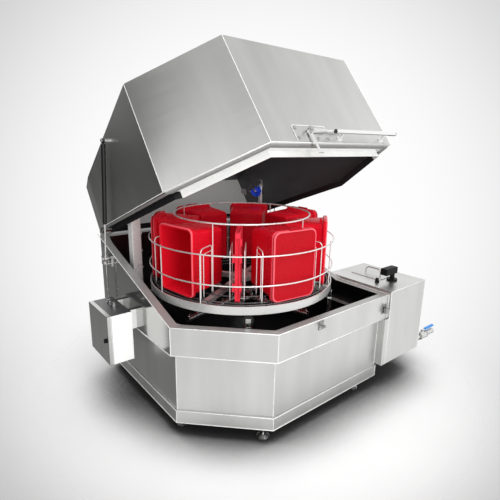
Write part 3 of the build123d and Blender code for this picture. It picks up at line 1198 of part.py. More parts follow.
def tank_body():
    """Welded tank, wider under the tub's band, with a hatch opening, the overflow duct and mounting rails."""
    outer = block((TANK_X0, TANK_X1), (TANK_Y0, TANK_Y1), (TANK_Z, TANK_TOP))
    outer = fillet(outer.edges().filter_by(Axis.Z), BEND)
    outer = fillet(outer.faces().sort_by(Axis.Z)[-1].edges(), SHEET)
    wider = block((TANK_LOW_X0, TANK_X0 + BEND), (TANK_Y0, TANK_Y1), (TANK_Z, TANK_LOW_TOP))
    outer += fillet(wider.edges().filter_by(Axis.Z).group_by(Axis.X)[0], BEND)
    inside = TANK_Y0 + SHEET, TANK_Y1 - SHEET
    outer -= block((TANK_X0 + SHEET, TANK_X1 - SHEET), inside, (TANK_Z + SHEET, TANK_TOP - SHEET))
    outer -= block((TANK_LOW_X0 + SHEET, TANK_X0 + BEND), inside, (TANK_Z + SHEET, TANK_LOW_TOP - SHEET))
    for rise in TANK_RAIL_RISE:
        outer += block((RIGHT, TANK_X0), (FRONT + TANK_RAIL_INSET, TANK_Y1 - TANK_RAIL_INSET),
                       (BAND_Z + rise, BAND_Z + rise + TANK_RAIL_HEIGHT))
    duct = duct_block()
    outer += duct
    outer -= block((duct.bounding_box().min.X - WELD_GAP, TANK_LOW_X0 + SHEET + WELD_GAP),
                   (TANK_MID_Y - DUCT[0] / 2 + SHEET, TANK_MID_Y + DUCT[0] / 2 - SHEET),
                   (DUCT_Z + SHEET, DUCT_Z + DUCT[1] - SHEET))
    outer -= hatch_block(0.0, TANK_TOP - CUT_PAST / 2, TANK_TOP + CUT_PAST / 2)
    side, back = (TANK_X1 - CUT_PAST, TANK_X1 + CUT_PAST), (TANK_Y1 - CUT_PAST, TANK_Y1 + CUT_PAST)
    outer -= rod((side[0], VALVE_Y, VALVE_Z), (side[1], VALVE_Y, VALVE_Z), VALVE_BORE)
    outer -= rod((PUMP_AT[0], back[0], PUMP_Z), (PUMP_AT[0], back[1], PUMP_Z), SUCTION_D - 2 * SUCTION_WALL)
    outer -= rod((HEATER_X, back[0], HEATER_Z), (HEATER_X, back[1], HEATER_Z), HEATER_HOLE_D)
    return group([outer & block(*limits) for limits in tank_panels()])


def heater_elements():
    """Flange on the tank's back with three hairpin heating rods."""
    flange, cap, pitch, half, seat, bend = 10.0, 50.0, 28.0, 22.0, 5.0, 20.0
    flange_y = TANK_Y1 + flange
    plate = rod((HEATER_X, TANK_Y1, HEATER_Z), (HEATER_X, flange_y, HEATER_Z), HEATER_FLANGE_D)
    pieces = [rod((HEATER_X, flange_y, HEATER_Z), (HEATER_X, flange_y + cap, HEATER_Z), HEATER_CAP_D)]
    near, far = TANK_Y1 + seat, TANK_Y1 - HEATER_LENGTH
    low, high = HEATER_Z - half, HEATER_Z + half
    for x in (HEATER_X - pitch, HEATER_X, HEATER_X + pitch):
        route = [(x, near, low), (x, far, low), (x, far, high), (x, near, high)]
        pieces.append(bent(route, HEATER_ROD_D, bend))
    return plate.fuse(*pieces)


def strainer_hatch():
    """Cover plate with a bow handle, and the strainer that hangs under it."""
    corner, bow_half, bow_rise, bow_wire, bow_bend = 10.0, 62.0, 42.0, 9.0, 30.0
    rows, first_row, row_step, columns, column_step = 4, 125.0, 26.0, 6, 30.0
    hx, hy = HATCH_AT
    top = TANK_TOP + SHEET
    cover = fillet(hatch_block(HATCH_LAP, TANK_TOP, top).edges().filter_by(Axis.Z), corner)
    outer = hatch_block(-STRAINER_GAP, TANK_TOP - STRAINER_DEPTH, TANK_TOP)
    inner = hatch_block(-STRAINER_GAP - STRAINER_SHEET, TANK_TOP - STRAINER_DEPTH + STRAINER_SHEET, TANK_TOP)
    strainer = outer - inner
    for row in range(rows):
        z = TANK_TOP - first_row + row * row_step
        for column in range(columns):
            y = hy + (column - (columns - 1) / 2) * column_step
            strainer -= rod((hx - HATCH[0], y, z), (hx + HATCH[0], y, z), STRAINER_HOLE_D)
    root, crown = top - STRAINER_SHEET, top + bow_rise
    bow = bent([(hx, hy - bow_half, root), (hx, hy - bow_half, crown), (hx, hy + bow_half, crown),
                (hx, hy + bow_half, root)], bow_wire, bow_bend)
    bend_y, end_y = bow_half - bow_bend, bow_half + CUT_PAST
    thirds = (hy - end_y, hy - bend_y), (hy - bend_y, hy + bend_y), (hy + bend_y, hy + end_y)
    bows = [bow & block((hx - CUT_PAST, hx + CUT_PAST), limits, (top, crown + CUT_PAST)) for limits in thirds]
    return group([cover + strainer] + bows)


def tank_fittings():
    """Level sensor with its flange and head, and a cable gland, on the tank's top."""
    flange_r, flange, neck_r, overlap, head_round = 36.0, 12.0, 16.0, 4.0, 9.0
    nut_r, nut, cap_r, cap = 15.0, 10.0, 11.0, 18.0
    x, y = SENSOR_AT
    head_z = TANK_TOP + SENSOR_HEAD_Z[0], TANK_TOP + SENSOR_HEAD_Z[1]
    sensor = disc(x, y, TANK_TOP, TANK_TOP + flange, flange_r)
    sensor += disc(x, y, TANK_TOP + flange, head_z[0] + overlap, neck_r)
    half = SENSOR_HEAD_WIDTH / 2
    head = block((x - SENSOR_HEAD[0], x + SENSOR_HEAD[1]), (y - half, y + half), head_z)
    sensor += fillet(head.edges(), head_round)
    gland = disc(*GLAND_AT, TANK_TOP, TANK_TOP + nut, nut_r)
    gland += disc(*GLAND_AT, TANK_TOP + nut, TANK_TOP + nut + cap, cap_r)
    return group([sensor, gland])


# Drain valve, on the tank's right side

def along_valve(x0, x1, diameter):
    """A round bar along the drain's axis."""
    return rod((x0, VALVE_Y, VALVE_Z), (x1, VALVE_Y, VALVE_Z), diameter)


def drain_valve():
    """Two-piece ball valve on a stub pipe; the outlet end is free."""
    overlap, collar, collar_d, body_round, neck_r, seat = 4.0, 8.0, VALVE_PIPE_D + 20.0, 5.0, 12.0, 0.3
    near, far = VALVE_X - VALVE_BODY_HALF, VALVE_X + VALVE_BODY_HALF
    body = fillet(along_valve(near, far, VALVE_BODY_D).edges(), body_round)
    valve = along_valve(TANK_X1, near + overlap, VALVE_PIPE_D)
    valve += along_valve(TANK_X1, TANK_X1 + collar, collar_d)
    valve += body + along_valve(far - overlap, VALVE_END_X, OUTLET_D)
    valve += disc(VALVE_X, VALVE_Y, VALVE_Z, VALVE_Z + VALVE_NECK, neck_r)
    valve -= along_valve(TANK_X1 - CUT_PAST, VALVE_END_X + CUT_PAST, VALVE_BORE)
    valve -= along_valve(VALVE_END_X - OUTLET_DEPTH, VALVE_END_X + CUT_PAST, OUTLET_BORE)
    valve -= Pos(VALVE_X, VALVE_Y, VALVE_Z) * Sphere(BALL_R + seat)
    past_neck = VALVE_Z + VALVE_NECK + CUT_PAST
    return valve - disc(VALVE_X, VALVE_Y, VALVE_Z, past_neck, VALVE_STEM_D / 2 + PIN_CLEARANCE)


def valve_lever():
    """Drilled ball with its stem, and the flat lever with a sleeve, which turn together."""
    sunk, stem_end, gap = 5.0, 8.0, 0.3
    arm_x, arm_half, arm_thick = (10.0, 40.0), 8.0, 4.0
    sleeve_from, sleeve_half, sleeve_z, sleeve_round = 32.0, 10.0, (3.0, 9.0), 3.0
    ball = Pos(VALVE_X, VALVE_Y, VALVE_Z) * Sphere(BALL_R)
    ball -= along_valve(VALVE_X - 2 * BALL_R, VALVE_X + 2 * BALL_R, VALVE_BORE)
    top = VALVE_Z + VALVE_NECK + gap
    stem = disc(VALVE_X, VALVE_Y, VALVE_Z + BALL_R - sunk, top + stem_end, VALVE_STEM_D / 2)
    arm = block((VALVE_X - arm_x[0], VALVE_X + arm_x[1]), (VALVE_Y - arm_half, VALVE_Y + arm_half),
                (top, top + arm_thick))
    sleeve = block((VALVE_X + sleeve_from, VALVE_X + VALVE_LEVER),
                   (VALVE_Y - sleeve_half, VALVE_Y + sleeve_half), (top - sleeve_z[0], top + sleeve_z[1]))
    return ball + stem + arm + fillet(sleeve.edges(), sleeve_round)


# Circulation pump, on the shelf behind the tank

VOLUTE_Y0 = PUMP_AT[1] - VOLUTE_WIDTH / 2
VOLUTE_Y1 = PUMP_AT[1] + VOLUTE_WIDTH / 2


def along_y(y0, y1, diameter):
    """A round bar along the pump's axis."""
    return rod((PUMP_AT[0], y0, PUMP_Z), (PUMP_AT[0], y1, PUMP_Z), diameter)


def pump_casing():
    """Volute casing with its outlet neck on top and an inlet neck towards the tank."""
    overlap, foot_half, foot_top, bore_from, outlet_wall, inlet_wall = 4.0, 50.0, 60.0, 40.0, 5.0, 6.0
    x, y = PUMP_AT
    outlet_z = PUMP_Z + VOLUTE_R + PUMP_NECK
    inside = VOLUTE_Y0 + PUMP_CASE_WALL, VOLUTE_Y1 - PUMP_CASE_WALL
    foot = block((x - foot_half, x + foot_half), inside, (PLINTH_Z + PLINTH_PLATE, PUMP_Z - foot_top))
    casing = along_y(VOLUTE_Y0, VOLUTE_Y1, 2 * VOLUTE_R) + foot
    casing += rod((x, y, PUMP_Z), (x, y, outlet_z), PIPE_D + 2 * outlet_wall)
    casing += along_y(VOLUTE_Y0 - PUMP_INLET, VOLUTE_Y0 + overlap, SUCTION_D + 2 * inlet_wall)
    casing -= along_y(*inside, 2 * (IMPELLER_R + PUMP_CASE_WALL))
    casing -= along_y(VOLUTE_Y0 - PUMP_INLET - CUT_PAST, inside[0] + overlap, SUCTION_D - 2 * SUCTION_WALL)
    casing -= rod((x, y, PUMP_Z + bore_from), (x, y, outlet_z + CUT_PAST), PIPE_D - 2 * PIPE_WALL)
    return casing - along_y(inside[1] - overlap, VOLUTE_Y1 + CUT_PAST, PUMP_SHAFT_D + 2 * PIN_CLEARANCE)


def pump_impeller():
    """Backplate with six vanes on the pump shaft."""
    plate_y, vane_y, vane_from, vane_half, vane_count = (12.0, 18.0), (14.0, 13.0), 14.0, 3.0, 6
    shaft_y = 12.0, 40.0
    middle = PUMP_AT[1]
    plate = along_y(middle + plate_y[0], middle + plate_y[1], 2 * IMPELLER_R)
    pieces = [along_y(middle - shaft_y[0], VOLUTE_Y1 + shaft_y[1], PUMP_SHAFT_D)]
    vane = block((vane_from, IMPELLER_R - 2 * SIDE_PLAY), (middle - vane_y[0], middle + vane_y[1]),
                 (-vane_half, vane_half))
    for turn in range(vane_count):
        pieces.append(Pos(PUMP_AT[0], 0, PUMP_Z) * (Rot(0, turn * 360 / vane_count, 0) * vane))
    return plate.fuse(*pieces)


def pump_motor():
    """Foot-mounted motor behind the pump, with a fan cowl and a terminal box."""
    feet_half, feet_y, feet_top, shaft_depth = 70.0, (40.0, 60.0), 40.0, 60.0
    box_half, box_y, box_z, cowl_y, cowl_wall = 40.0, (50.0, 130.0), (40.0, 38.0), (45.0, 12.0), 4.0
    x = PUMP_AT[0]
    y0, y1 = VOLUTE_Y1, VOLUTE_Y1 + PUMP_MOTOR_LENGTH
    motor = along_y(y0, y1, 2 * PUMP_MOTOR_R)
    motor += block((x - feet_half, x + feet_half), (y0 + feet_y[0], y1 - feet_y[1]),
                   (PLINTH_Z + PLINTH_PLATE, PUMP_Z - feet_top))
    motor += block((x - box_half, x + box_half), (y0 + box_y[0], y0 + box_y[1]),
                   (PUMP_Z + box_z[0], PUMP_Z + PUMP_MOTOR_R + box_z[1]))
    motor += along_y(y1 - cowl_y[0], y1 + cowl_y[1], 2 * (PUMP_MOTOR_R + cowl_wall))
    return motor - along_y(y0 - 1, y0 + shaft_depth, PUMP_SHAFT_D + 2 * PIN_CLEARANCE)


def pump_pipes():
    """Suction pipe from the tank and pressure pipe from the pump up to the tub's manifold."""
    bend = 60.0
    x, y = PUMP_AT
    suction = along_y(TANK_Y1, VOLUTE_Y0 - PUMP_INLET, SUCTION_D)
    suction -= along_y(TANK_Y1, VOLUTE_Y0 - PUMP_INLET, SUCTION_D - 2 * SUCTION_WALL)
    route = [(x, y, PUMP_Z + VOLUTE_R + PUMP_NECK), (x, MANIFOLD_Y0, MANIFOLD_Z),
             (TUB_INLET_X, MANIFOLD_Y0, MANIFOLD_Z)]
    return group([suction, bent(route, PIPE_D, bend, PIPE_D - 2 * PIPE_WALL)])


# Control box on the left wall

BOX_X = (LEFT - BOX_OUT + DOOR_DEPTH, LEFT - BOX_STANDOFF)
DOOR_X = LEFT - BOX_OUT
DOOR_HINGE = (BOX_X[0], BOX_Y[1] + DOOR_PIN_D)
HINGE_HEIGHTS = (BOX_Z[0] + DOOR_HINGE_INSET, BOX_Z[1] - DOOR_HINGE_INSET)


def box_inside(x0, x1):
    """The room inside the box's sheet between two depths."""
    y, z = (BOX_Y[0] + BOX_SHEET, BOX_Y[1] - BOX_SHEET), (BOX_Z[0] + BOX_SHEET, BOX_Z[1] - BOX_SHEET)
    return block((x0, x1), y, z)


def control_box():
    """Folded box on two rails, open towards the left, with the fixed half of its door hinges."""
    rail_y, rail, rail_z, leaf, lap = (40.0, 70.0), 30.0, (8.0, 128.0), 24.0, (1.0, 2.0)
    box = block(BOX_X, BOX_Y, BOX_Z)
    box = fillet(box.edges().filter_by(Axis.X), BEND)
    box -= box_inside(BOX_X[0] - 1, BOX_X[1] - BOX_SHEET)
    for y in (BOX_Y[0] + rail_y[0], BOX_Y[1] - rail_y[1]):
        box += block((BOX_X[1], LEFT), (y, y + rail), (BAND_Z + rail_z[0], BAND_Z + rail_z[1]))
    x, y = DOOR_HINGE
    for z in HINGE_HEIGHTS:
        low, high = z - HALF_KNUCKLE, z - KNUCKLE_GAP
        box += block((x, x + leaf), (BOX_Y[1] - lap[0], y + lap[1]), (low, high))
        box += disc(x, y, low, high, DOOR_PIN_D)
        box += disc(x, y, low, z + HALF_KNUCKLE, DOOR_PIN_D / 2)
    return box


def control_box_door():
    """Shallow tray-shaped door with the moving half of its hinges."""
    edge, leaf, lap = 2.0, (20.0, 1.5), (1.0, 2.0)
    x1 = BOX_X[0] - DOOR_GAP
    door = block((DOOR_X, x1), BOX_Y, BOX_Z)
    door = fillet(door.edges().filter_by(Axis.X), BEND)
    door = fillet(door.faces().sort_by(Axis.X)[0].edges(), edge)
    door -= box_inside(DOOR_X + BOX_SHEET, x1 + 1)
    x, y = DOOR_HINGE
    for z in HINGE_HEIGHTS:
        low, high = z + KNUCKLE_GAP, z + HALF_KNUCKLE
        half = block((x - leaf[0], x - leaf[1]), (BOX_Y[1] - lap[0], y + lap[1]), (low, high))
        half += disc(x, y, low, high, DOOR_PIN_D)
        door += half - disc(x, y, z, high + 1, DOOR_PIN_D / 2 + PIN_CLEARANCE)
    lock = (DOOR_X - CUT_PAST, *LOCK_AT), (DOOR_X + CUT_PAST, *LOCK_AT)
    return door - rod(*lock, LOCK_D + 2 * PIN_CLEARANCE)


LOCK_AT = (BOX_Y[0] + LOCK_FROM_EDGE, sum(BOX_Z) / 2)


def door_lock():
    """Quarter-turn lock: a winged knob, its barrel and the cam behind the door's skin."""
    barrel_x, flange_x, flange_d = (3.0, 15.0), (4.0, 0.5), 28.0
    wing_out, wing_half, wing_round = 16.0, (5.0, 13.0), 4.0
    cam_x, cam_half, cam_z = (9.0, 13.0), 9.0, (8.0, 36.0)
    y, z = LOCK_AT
    barrel = rod((DOOR_X - barrel_x[0], y, z), (DOOR_X + barrel_x[1], y, z), LOCK_D)
    flange = rod((DOOR_X - flange_x[0], y, z), (DOOR_X - flange_x[1], y, z), flange_d)
    wing = block((DOOR_X - wing_out, DOOR_X - flange_x[0]), (y - wing_half[0], y + wing_half[0]),
                 (z - wing_half[1], z + wing_half[1]))
    cam = block((DOOR_X + cam_x[0], DOOR_X + cam_x[1]), (y - cam_half, y + cam_half),
                (z - cam_z[0], z + cam_z[1]))
    return barrel + flange + fillet(wing.edges().filter_by(Axis.X), wing_round) + cam


def contactor_rail():
    """Rail on the box's back wall with the motor contactors and terminals."""
    inset, rail_out, rail_half = 35.0, 10.0, 18.0
    count, first, pitch, width, out, half = 4, 8.0, 56.0, 46.0, 78.0, 42.0
    y0, y1 = BOX_Y[0] + inset, BOX_Y[1] - inset
    z, back = sum(BOX_Z) / 2, BOX_X[1]
    rail = block((back - rail_out, back - BOX_SHEET), (y0, y1), (z - rail_half, z + rail_half))
    for place in range(count):
        start = y0 + first + place * pitch
        rail += block((back - out, back - rail_out), (start, start + width), (z - half, z + half))
    return rail


def box_cable_entries():
    """Glands on the box's top, and the rigid conduit from the strut bracket into the box's rear side."""
    glands, nut, nut_wall, forward, web = ((150.0, 16.0, 26.0), (215.0, 12.0, 20.0)), 9.0, 5.0, 12.0, 36.0
    entry_in, entry_down = 40.0, 60.0
    x, low = sum(BOX_X) / 2 + forward, BOX_Z[1]
    pieces = []
    for along, radius, height in glands:
        y = BOX_Y[0] + along
        gland = disc(x, y, low, low + nut, radius + nut_wall)
        pieces.append(gland + disc(x, y, low + nut, low + height, radius))
    x, y = STRUT_X[0], STRUT_FOOT[0]
    top = STRUT_FOOT[1] - web + min(0.0, DRIFT_FAR[1])
    entry = (BOX_X[1] - entry_in, BOX_Y[1], BOX_Z[1] - entry_down)
    route = [(x, y, top), (x, y, entry[2]), (entry[0], y, entry[2]), entry]
    pieces.append(bent(route, CONDUIT_D, CONDUIT_BEND))
    return group(pieces)


# Nodes

NODES = {
    "base_plinth": base_plinth(),
    "levelling_feet": levelling_feet(),
    "lower_casing": lower_casing(),
    "wash_tub": wash_tub(),
    "hinge_brackets": group([piece for side in HINGE_SIDES for piece in hinge_bracket(side)]),
    "latch_keeper": latch_keeper(),
    "safety_switch": safety_switch(),
    "strut_brackets": group([strut_bracket(LEFT, -1), strut_bracket(RIGHT, 1)]),
    "bearing_housing": bearing_housing(),
    "shaft_seal": shaft_seal(),
    "drive_motor": drive_motor(),
    "drive_belt": drive_belt(),
    "roller_posts": group([roller_post(angle) for angle in ROLLER_ANGLES]),
    "spray_riser": spray_riser(),
    "lower_spray": lower_spray(),
    "spray_column": spray_column(),
    "riser_valve": riser_valve(),
    "tank_body": tank_body(),
    "tank_fittings": tank_fittings(),
    "heater_elements": heater_elements(),
    "drain_valve": drain_valve(),
    "pump_casing": pump_casing(),
    "pump_motor": pump_motor(),
    "pump_pipes": pump_pipes(),
    "control_box": control_box(),
    "contactor_rail": contactor_rail(),
    "box_cable_entries": box_cable_entries(),
    "lid_shell": opened(lid_shell()),
    "lid_rim_frame": opened(lid_rim_frame()),
    "lid_seal": opened(lid_seal()),
    "lid_fittings": group([opened(piece) for piece in lid_fittings()]),
    "lid_handle": opened(lid_handle()),
    "latch_plate": opened(latch_plate()),
    "latch_lever": opened(latch_lever()),
    "strut_cylinder_left": strut_cylinder(STRUT_X[0]),
    "strut_cylinder_right": strut_cylinder(STRUT_X[1]),
    "strut_rod_left": strut_rod(STRUT_X[0]),
    "strut_rod_right": strut_rod(STRUT_X[1]),
    "main_shaft": main_shaft(),
    "basket_pulley": pulley(0, BIG_PULLEY_R, SHAFT_D + 2 * HUB_PLAY),
    "basket_base": basket_base(),
    "basket_cage": basket_cage(),
    "basket_rack": basket_rack(),
    "flat_tray": flat_tray(),
    "motor_pulley": motor_pulley(),
    "handwheel": handwheel(),
    "strainer_hatch": strainer_hatch(),
    "valve_lever": valve_lever(),
    "pump_impeller": pump_impeller(),
    "control_box_door": control_box_door(),
    "door_lock": door_lock(),
    "lidded_bins": group([red_bin(BIN_ANGLES[index]) for index in LIDDED]),
    "bin_lids": group([bin_lid(BIN_ANGLES[index]) for index in LIDDED]),
}
OPEN_BINS = [index for index in range(BIN_COUNT) if index not in LIDDED]
for count, index in enumerate(OPEN_BINS, 1):
    NODES[f"open_bin_{count}"] = red_bin(BIN_ANGLES[index])
for count, angle in enumerate(ROLLER_ANGLES, 1):
    NODES[f"support_roller_{count}"] = support_roller(angle)

whole = Compound(children=[solid for shape in NODES.values() for solid in shape.solids()]).bounding_box()
SHIFT = (-(whole.min.X + whole.max.X) / 2, -(whole.min.Y + whole.max.Y) / 2, -whole.min.Z)

os.makedirs("parts", exist_ok=True)
for name, shape in NODES.items():
    export_step(shape.moved(Location(SHIFT)), f"parts/{name}.step")
print("nodes", len(NODES), "size", whole.size, "shift", SHIFT)
print("strut", STRUT_OPEN, STRUT_CLOSED, "swing ratio", STRUT_SWING_RATIO, "drift", DRIFT_FAR)
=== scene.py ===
import json
import math
import bmesh
import bpy
from mathutils import Matrix, Vector


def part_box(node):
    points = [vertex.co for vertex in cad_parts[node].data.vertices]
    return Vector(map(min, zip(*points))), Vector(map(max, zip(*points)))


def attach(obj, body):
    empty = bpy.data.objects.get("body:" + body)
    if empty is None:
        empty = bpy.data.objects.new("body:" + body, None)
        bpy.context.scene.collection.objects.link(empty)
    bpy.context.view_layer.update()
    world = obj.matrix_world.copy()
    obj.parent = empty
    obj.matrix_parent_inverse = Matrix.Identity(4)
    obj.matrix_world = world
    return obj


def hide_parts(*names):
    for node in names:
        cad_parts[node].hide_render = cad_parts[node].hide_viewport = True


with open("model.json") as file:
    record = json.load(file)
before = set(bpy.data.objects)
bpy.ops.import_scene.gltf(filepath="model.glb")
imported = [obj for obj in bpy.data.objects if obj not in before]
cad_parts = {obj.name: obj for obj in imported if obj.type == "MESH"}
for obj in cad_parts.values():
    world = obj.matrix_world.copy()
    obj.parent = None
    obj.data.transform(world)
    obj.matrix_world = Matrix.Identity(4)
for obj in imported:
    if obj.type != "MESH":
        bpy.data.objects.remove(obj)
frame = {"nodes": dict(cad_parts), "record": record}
scene = bpy.context.scene
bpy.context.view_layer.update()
nodes = frame["nodes"]


# Plinth and casing: stainless sheet folded into a ring on a bottom flange, with the narrower casing
# standing on it. The sheet is ground with a belt along its length, so the streaks run level.

def linear(colour):
    """An sRGB hex colour as the linear values that a shader takes."""
    parts = [int(colour[i:i + 2], 16) / 255 for i in (1, 3, 5)]
    return tuple(c / 12.92 if c <= 0.04045 else ((c + 0.055) / 1.055) ** 2.4 for c in parts) + (1.0,)


def add(tree, kind, inputs=None, **settings):
    """Adds one shader node: its settings, then a value or a link for each input, by name or place."""
    made = tree.nodes.new("ShaderNode" + kind)
    for name, value in settings.items():
        setattr(made, name, value)
    for name, value in (inputs or {}).items():
        if isinstance(value, bpy.types.NodeSocket):
            tree.links.new(value, made.inputs[name])
        else:
            made.inputs[name].default_value = value
    return made


def new_finish(name, metallic=0.0, **fixed):
    """A new finish with its constant values set: its tree, its shader and its coordinates."""
    finish = bpy.data.materials.new(name)
    finish.use_nodes = True
    tree = finish.node_tree
    shader = tree.nodes["Principled BSDF"]
    shader.inputs["Metallic"].default_value = metallic
    for socket, value in fixed.items():
        shader.inputs[socket.replace("_", " ").title().replace("Ior", "IOR")].default_value = value
    return finish, tree, shader, add(tree, "TexCoord")


def dress(finish, *pieces):
    """Gives CAD nodes, by name, or new pieces one finish all over."""
    for piece in pieces:
        shown = nodes[piece] if isinstance(piece, str) else piece
        if not shown.material_slots:
            shown.data.materials.append(finish)
        for place in shown.material_slots:
            place.material = finish


def ground_steel(name, light, dark, lean=0.0, metal=1.0, inside_shade=None, facing_shade=(), within_light=(), beyond=()):
    """Belt-ground stainless sheet: level streaks in gloss and bump, and faint bands from rolling and
    wiping, which stand upright on walls and run one way on level faces. lean tilts both with the piece.
    Grit lines are really 0.2 mm apart; 5 mm is the finest that shows here.
    inside is the middle of a hollow piece, and a darker tone for its inner faces with how metallic they look,
    as painted shade. facing lists (direction, tone, metallic, roughness) for faces that turn one way, such as
    a top, as painted shade, and within lists the same for inner faces only, as painted light.
    beyond lists (point, direction, tone, metallic, roughness) for what lies past a plane."""
    streak_size = 0.35, 0.35, 0.005
    band_width, band_length = 0.16, 0.9
    finish, tree, shader, coords = new_finish(name, metallic=metal)
    place = coords.outputs["Object"]
    along = add(tree, "Mapping", {"Vector": place, "Rotation": (lean, 0, 0), "Scale": streak_size},
                vector_type="TEXTURE")
    streaks = add(tree, "TexNoise", {"Vector": along.outputs["Vector"], "Scale": 1.0, "Detail": 3.0})
    upwards = 0, -math.sin(lean), math.cos(lean)
    rising = add(tree, "VectorMath", {0: coords.outputs["Normal"], 1: upwards}, operation="DOT_PRODUCT")
    steep = add(tree, "Math", {0: rising.outputs["Value"]}, operation="ABSOLUTE")
    span = add(tree, "MapRange", {"Value": steep.outputs["Value"], "From Min": 0.6, "From Max": 0.7,
                                  "To Min": band_width, "To Max": band_length})
    band = add(tree, "CombineXYZ", {"X": band_width, "Y": span.outputs["Result"], "Z": band_length})
    wiped = add(tree, "Mapping", {"Vector": place, "Rotation": (lean, 0, 0), "Scale": band.outputs["Vector"]},
                vector_type="TEXTURE")
    patches = add(tree, "TexNoise", {"Vector": wiped.outputs["Vector"], "Scale": 1.0, "Detail": 2.0})
    share = add(tree, "MapRange", {"Value": patches.outputs["Fac"], "From Min": 0.35, "From Max": 0.65})
    colour = add(tree, "Mix", {"Factor": share.outputs["Result"], "A": linear(dark), "B": linear(light)},
                 data_type="RGBA").outputs["Result"]
    gloss = add(tree, "MapRange", {"Value": streaks.outputs["Fac"], "From Min": 0.3, "From Max": 0.7,
                                   "To Min": 0.30, "To Max": 0.38}).outputs["Result"]
    # Each region below gets its own tone, metallic and roughness; the inside, facing and within ones are
    # painted light and shade.
    regions = []
    for way, *look in (*facing_shade, *within_light):
        turned = add(tree, "VectorMath", {0: Vector(way).normalized(), 1: coords.outputs["Normal"]},
                     operation="DOT_PRODUCT")
        region = add(tree, "MapRange", {"Value": turned.outputs["Value"], "From Min": 0.80, "From Max": 0.92})
        regions.append((region.outputs["Result"], *look))
    if inside_shade:
        out = add(tree, "VectorMath", {0: place, 1: inside_shade[0]}, operation="SUBTRACT")
        turned = add(tree, "VectorMath", {0: out.outputs["Vector"], 1: coords.outputs["Normal"]},
                     operation="DOT_PRODUCT")
        inner = add(tree, "Math", {0: turned.outputs["Value"], 1: 0.0}, operation="LESS_THAN")
        regions.insert(len(facing_shade), (inner.outputs["Value"], inside_shade[1], inside_shade[2], gloss))
        for count in range(len(facing_shade) + 1, len(regions)):
            both = add(tree, "Math", {0: inner.outputs["Value"], 1: regions[count][0]}, operation="MULTIPLY")
            regions[count] = (both.outputs["Value"], *regions[count][1:])
    for point, way, *look in beyond:
        out = add(tree, "VectorMath", {0: place, 1: point}, operation="SUBTRACT")
        past = add(tree, "VectorMath", {0: out.outputs["Vector"], 1: way}, operation="DOT_PRODUCT")
        region = add(tree, "Math", {0: past.outputs["Value"], 1: 0.0}, operation="GREATER_THAN")
        regions.append((region.outputs["Value"], *look))
    mirrored = metal
    for share, tone, mirror, rough in regions:
        colour = add(tree, "Mix", {"Factor": share, "A": colour, "B": linear(tone)},
                     data_type="RGBA").outputs["Result"]
        mirrored = add(tree, "Mix", {"Factor": share, "A": mirrored, "B": mirror}).outputs["Result"]
        gloss = add(tree, "Mix", {"Factor": share, "A": gloss, "B": rough}).outputs["Result"]
    if regions:
        tree.links.new(mirrored, shader.inputs["Metallic"])
    grain = add(tree, "Bump", {"Height": streaks.outputs["Fac"], "Strength": 0.05, "Distance": 0.0006})
    tree.links.new(colour, shader.inputs["Base Color"])
    tree.links.new(gloss, shader.inputs["Roughness"])
    tree.links.new(grain.outputs["Normal"], shader.inputs["Normal"])
    return finish


cabinet_steel = ground_steel("ground_stainless_cabinet", "#DADAD8", "#CFCFCD")
dress(cabinet_steel, "base_plinth", "lower_casing")


# Levelling feet: turned stainless cups on threaded stems, with a lock nut under the plinth's flange.
# The lathe leaves fine rings, and the cup's edge is scuffed by the floor.

def link_up(tree, shader, colour, gloss, marks=None):
    """Links a finish's colour and roughness nodes, and its bump if it has one, to its shader."""
    tree.links.new(colour.outputs["Result"], shader.inputs["Base Color"])
    tree.links.new(gloss.outputs["Result"], shader.inputs["Roughness"])
    if marks is not None:
        tree.links.new(marks.outputs["Normal"], shader.inputs["Normal"])


def turned_steel(name, colour, ring=0.004):
    """Lathe-turned or drawn stainless: bright, with faint rings along its height and worn spots."""
    spot = 0.02
    finish, tree, shader, coords = new_finish(name, metallic=1.0)
    place = coords.outputs["Object"]
    rings = add(tree, "Mapping", {"Vector": place, "Scale": (0.2, 0.2, ring)}, vector_type="TEXTURE")
    lines = add(tree, "TexNoise", {"Vector": rings.outputs["Vector"], "Scale": 1.0, "Detail": 2.0})
    worn = add(tree, "TexNoise", {"Vector": place, "Scale": 1 / spot, "Detail": 3.0})
    gloss = add(tree, "MapRange", {"Value": worn.outputs["Fac"], "From Min": 0.3, "From Max": 0.7,
                                   "To Min": 0.16, "To Max": 0.34})
    tone = add(tree, "MapRange", {"Value": lines.outputs["Fac"], "From Min": 0.3, "From Max": 0.7,
                                  "To Min": 0.0, "To Max": 0.35})
    shade = add(tree, "Mix", {"Factor": tone.outputs["Result"], "A": linear(colour), "B": linear("#A8A8A8")},
                data_type="RGBA")
    marks = add(tree, "Bump", {"Height": lines.outputs["Fac"], "Strength": 0.12, "Distance": 0.0004})
    link_up(tree, shader, shade, gloss, marks)
    return finish


dress(turned_steel("turned_stainless", "#D9D9D8"), "levelling_feet")


# Wash tub: the band with its folded rim outside, and the welded basin in it. The basin's inner faces are
# painted dark grey as shade under the rim, and the rim's top and the walls that face left are painted darker
# as shade.

shaft_low, shaft_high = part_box("main_shaft")
shaft = (Vector(shaft_low) + Vector(shaft_high)) / 2


def at(x, y, z):
    """A point given in mm from the basket's axis and the floor."""
    return Vector((shaft.x + x / 1000, shaft.y + y / 1000, z / 1000))


shaded_rim_top, shaded_left_wall = (0, -0.3, 0.95), (-1, 0, 0)
tub_steel = ground_steel("ground_stainless_tub", "#DADAD8", "#CFCFCD", inside_shade=(at(0, 0, 500), "#565658", 1.0),
                         facing_shade=[(shaded_rim_top, "#A8A8A6", 0.5, 0.34), (shaded_left_wall, "#C0C0BE", 1.0, 0.15)])
dress(tub_steel, "wash_tub")


# Edge highlights: slim near-white beads on the welded corners and folded edges of the cabinet, a painted
# highlight where the bends catch the light, brighter than the ground sheet between them.

def put(name, shown):
    """Puts a mesh, camera or light in the scene as a new object."""
    made = bpy.data.objects.new(name, shown)
    scene.collection.objects.link(made)
    return made


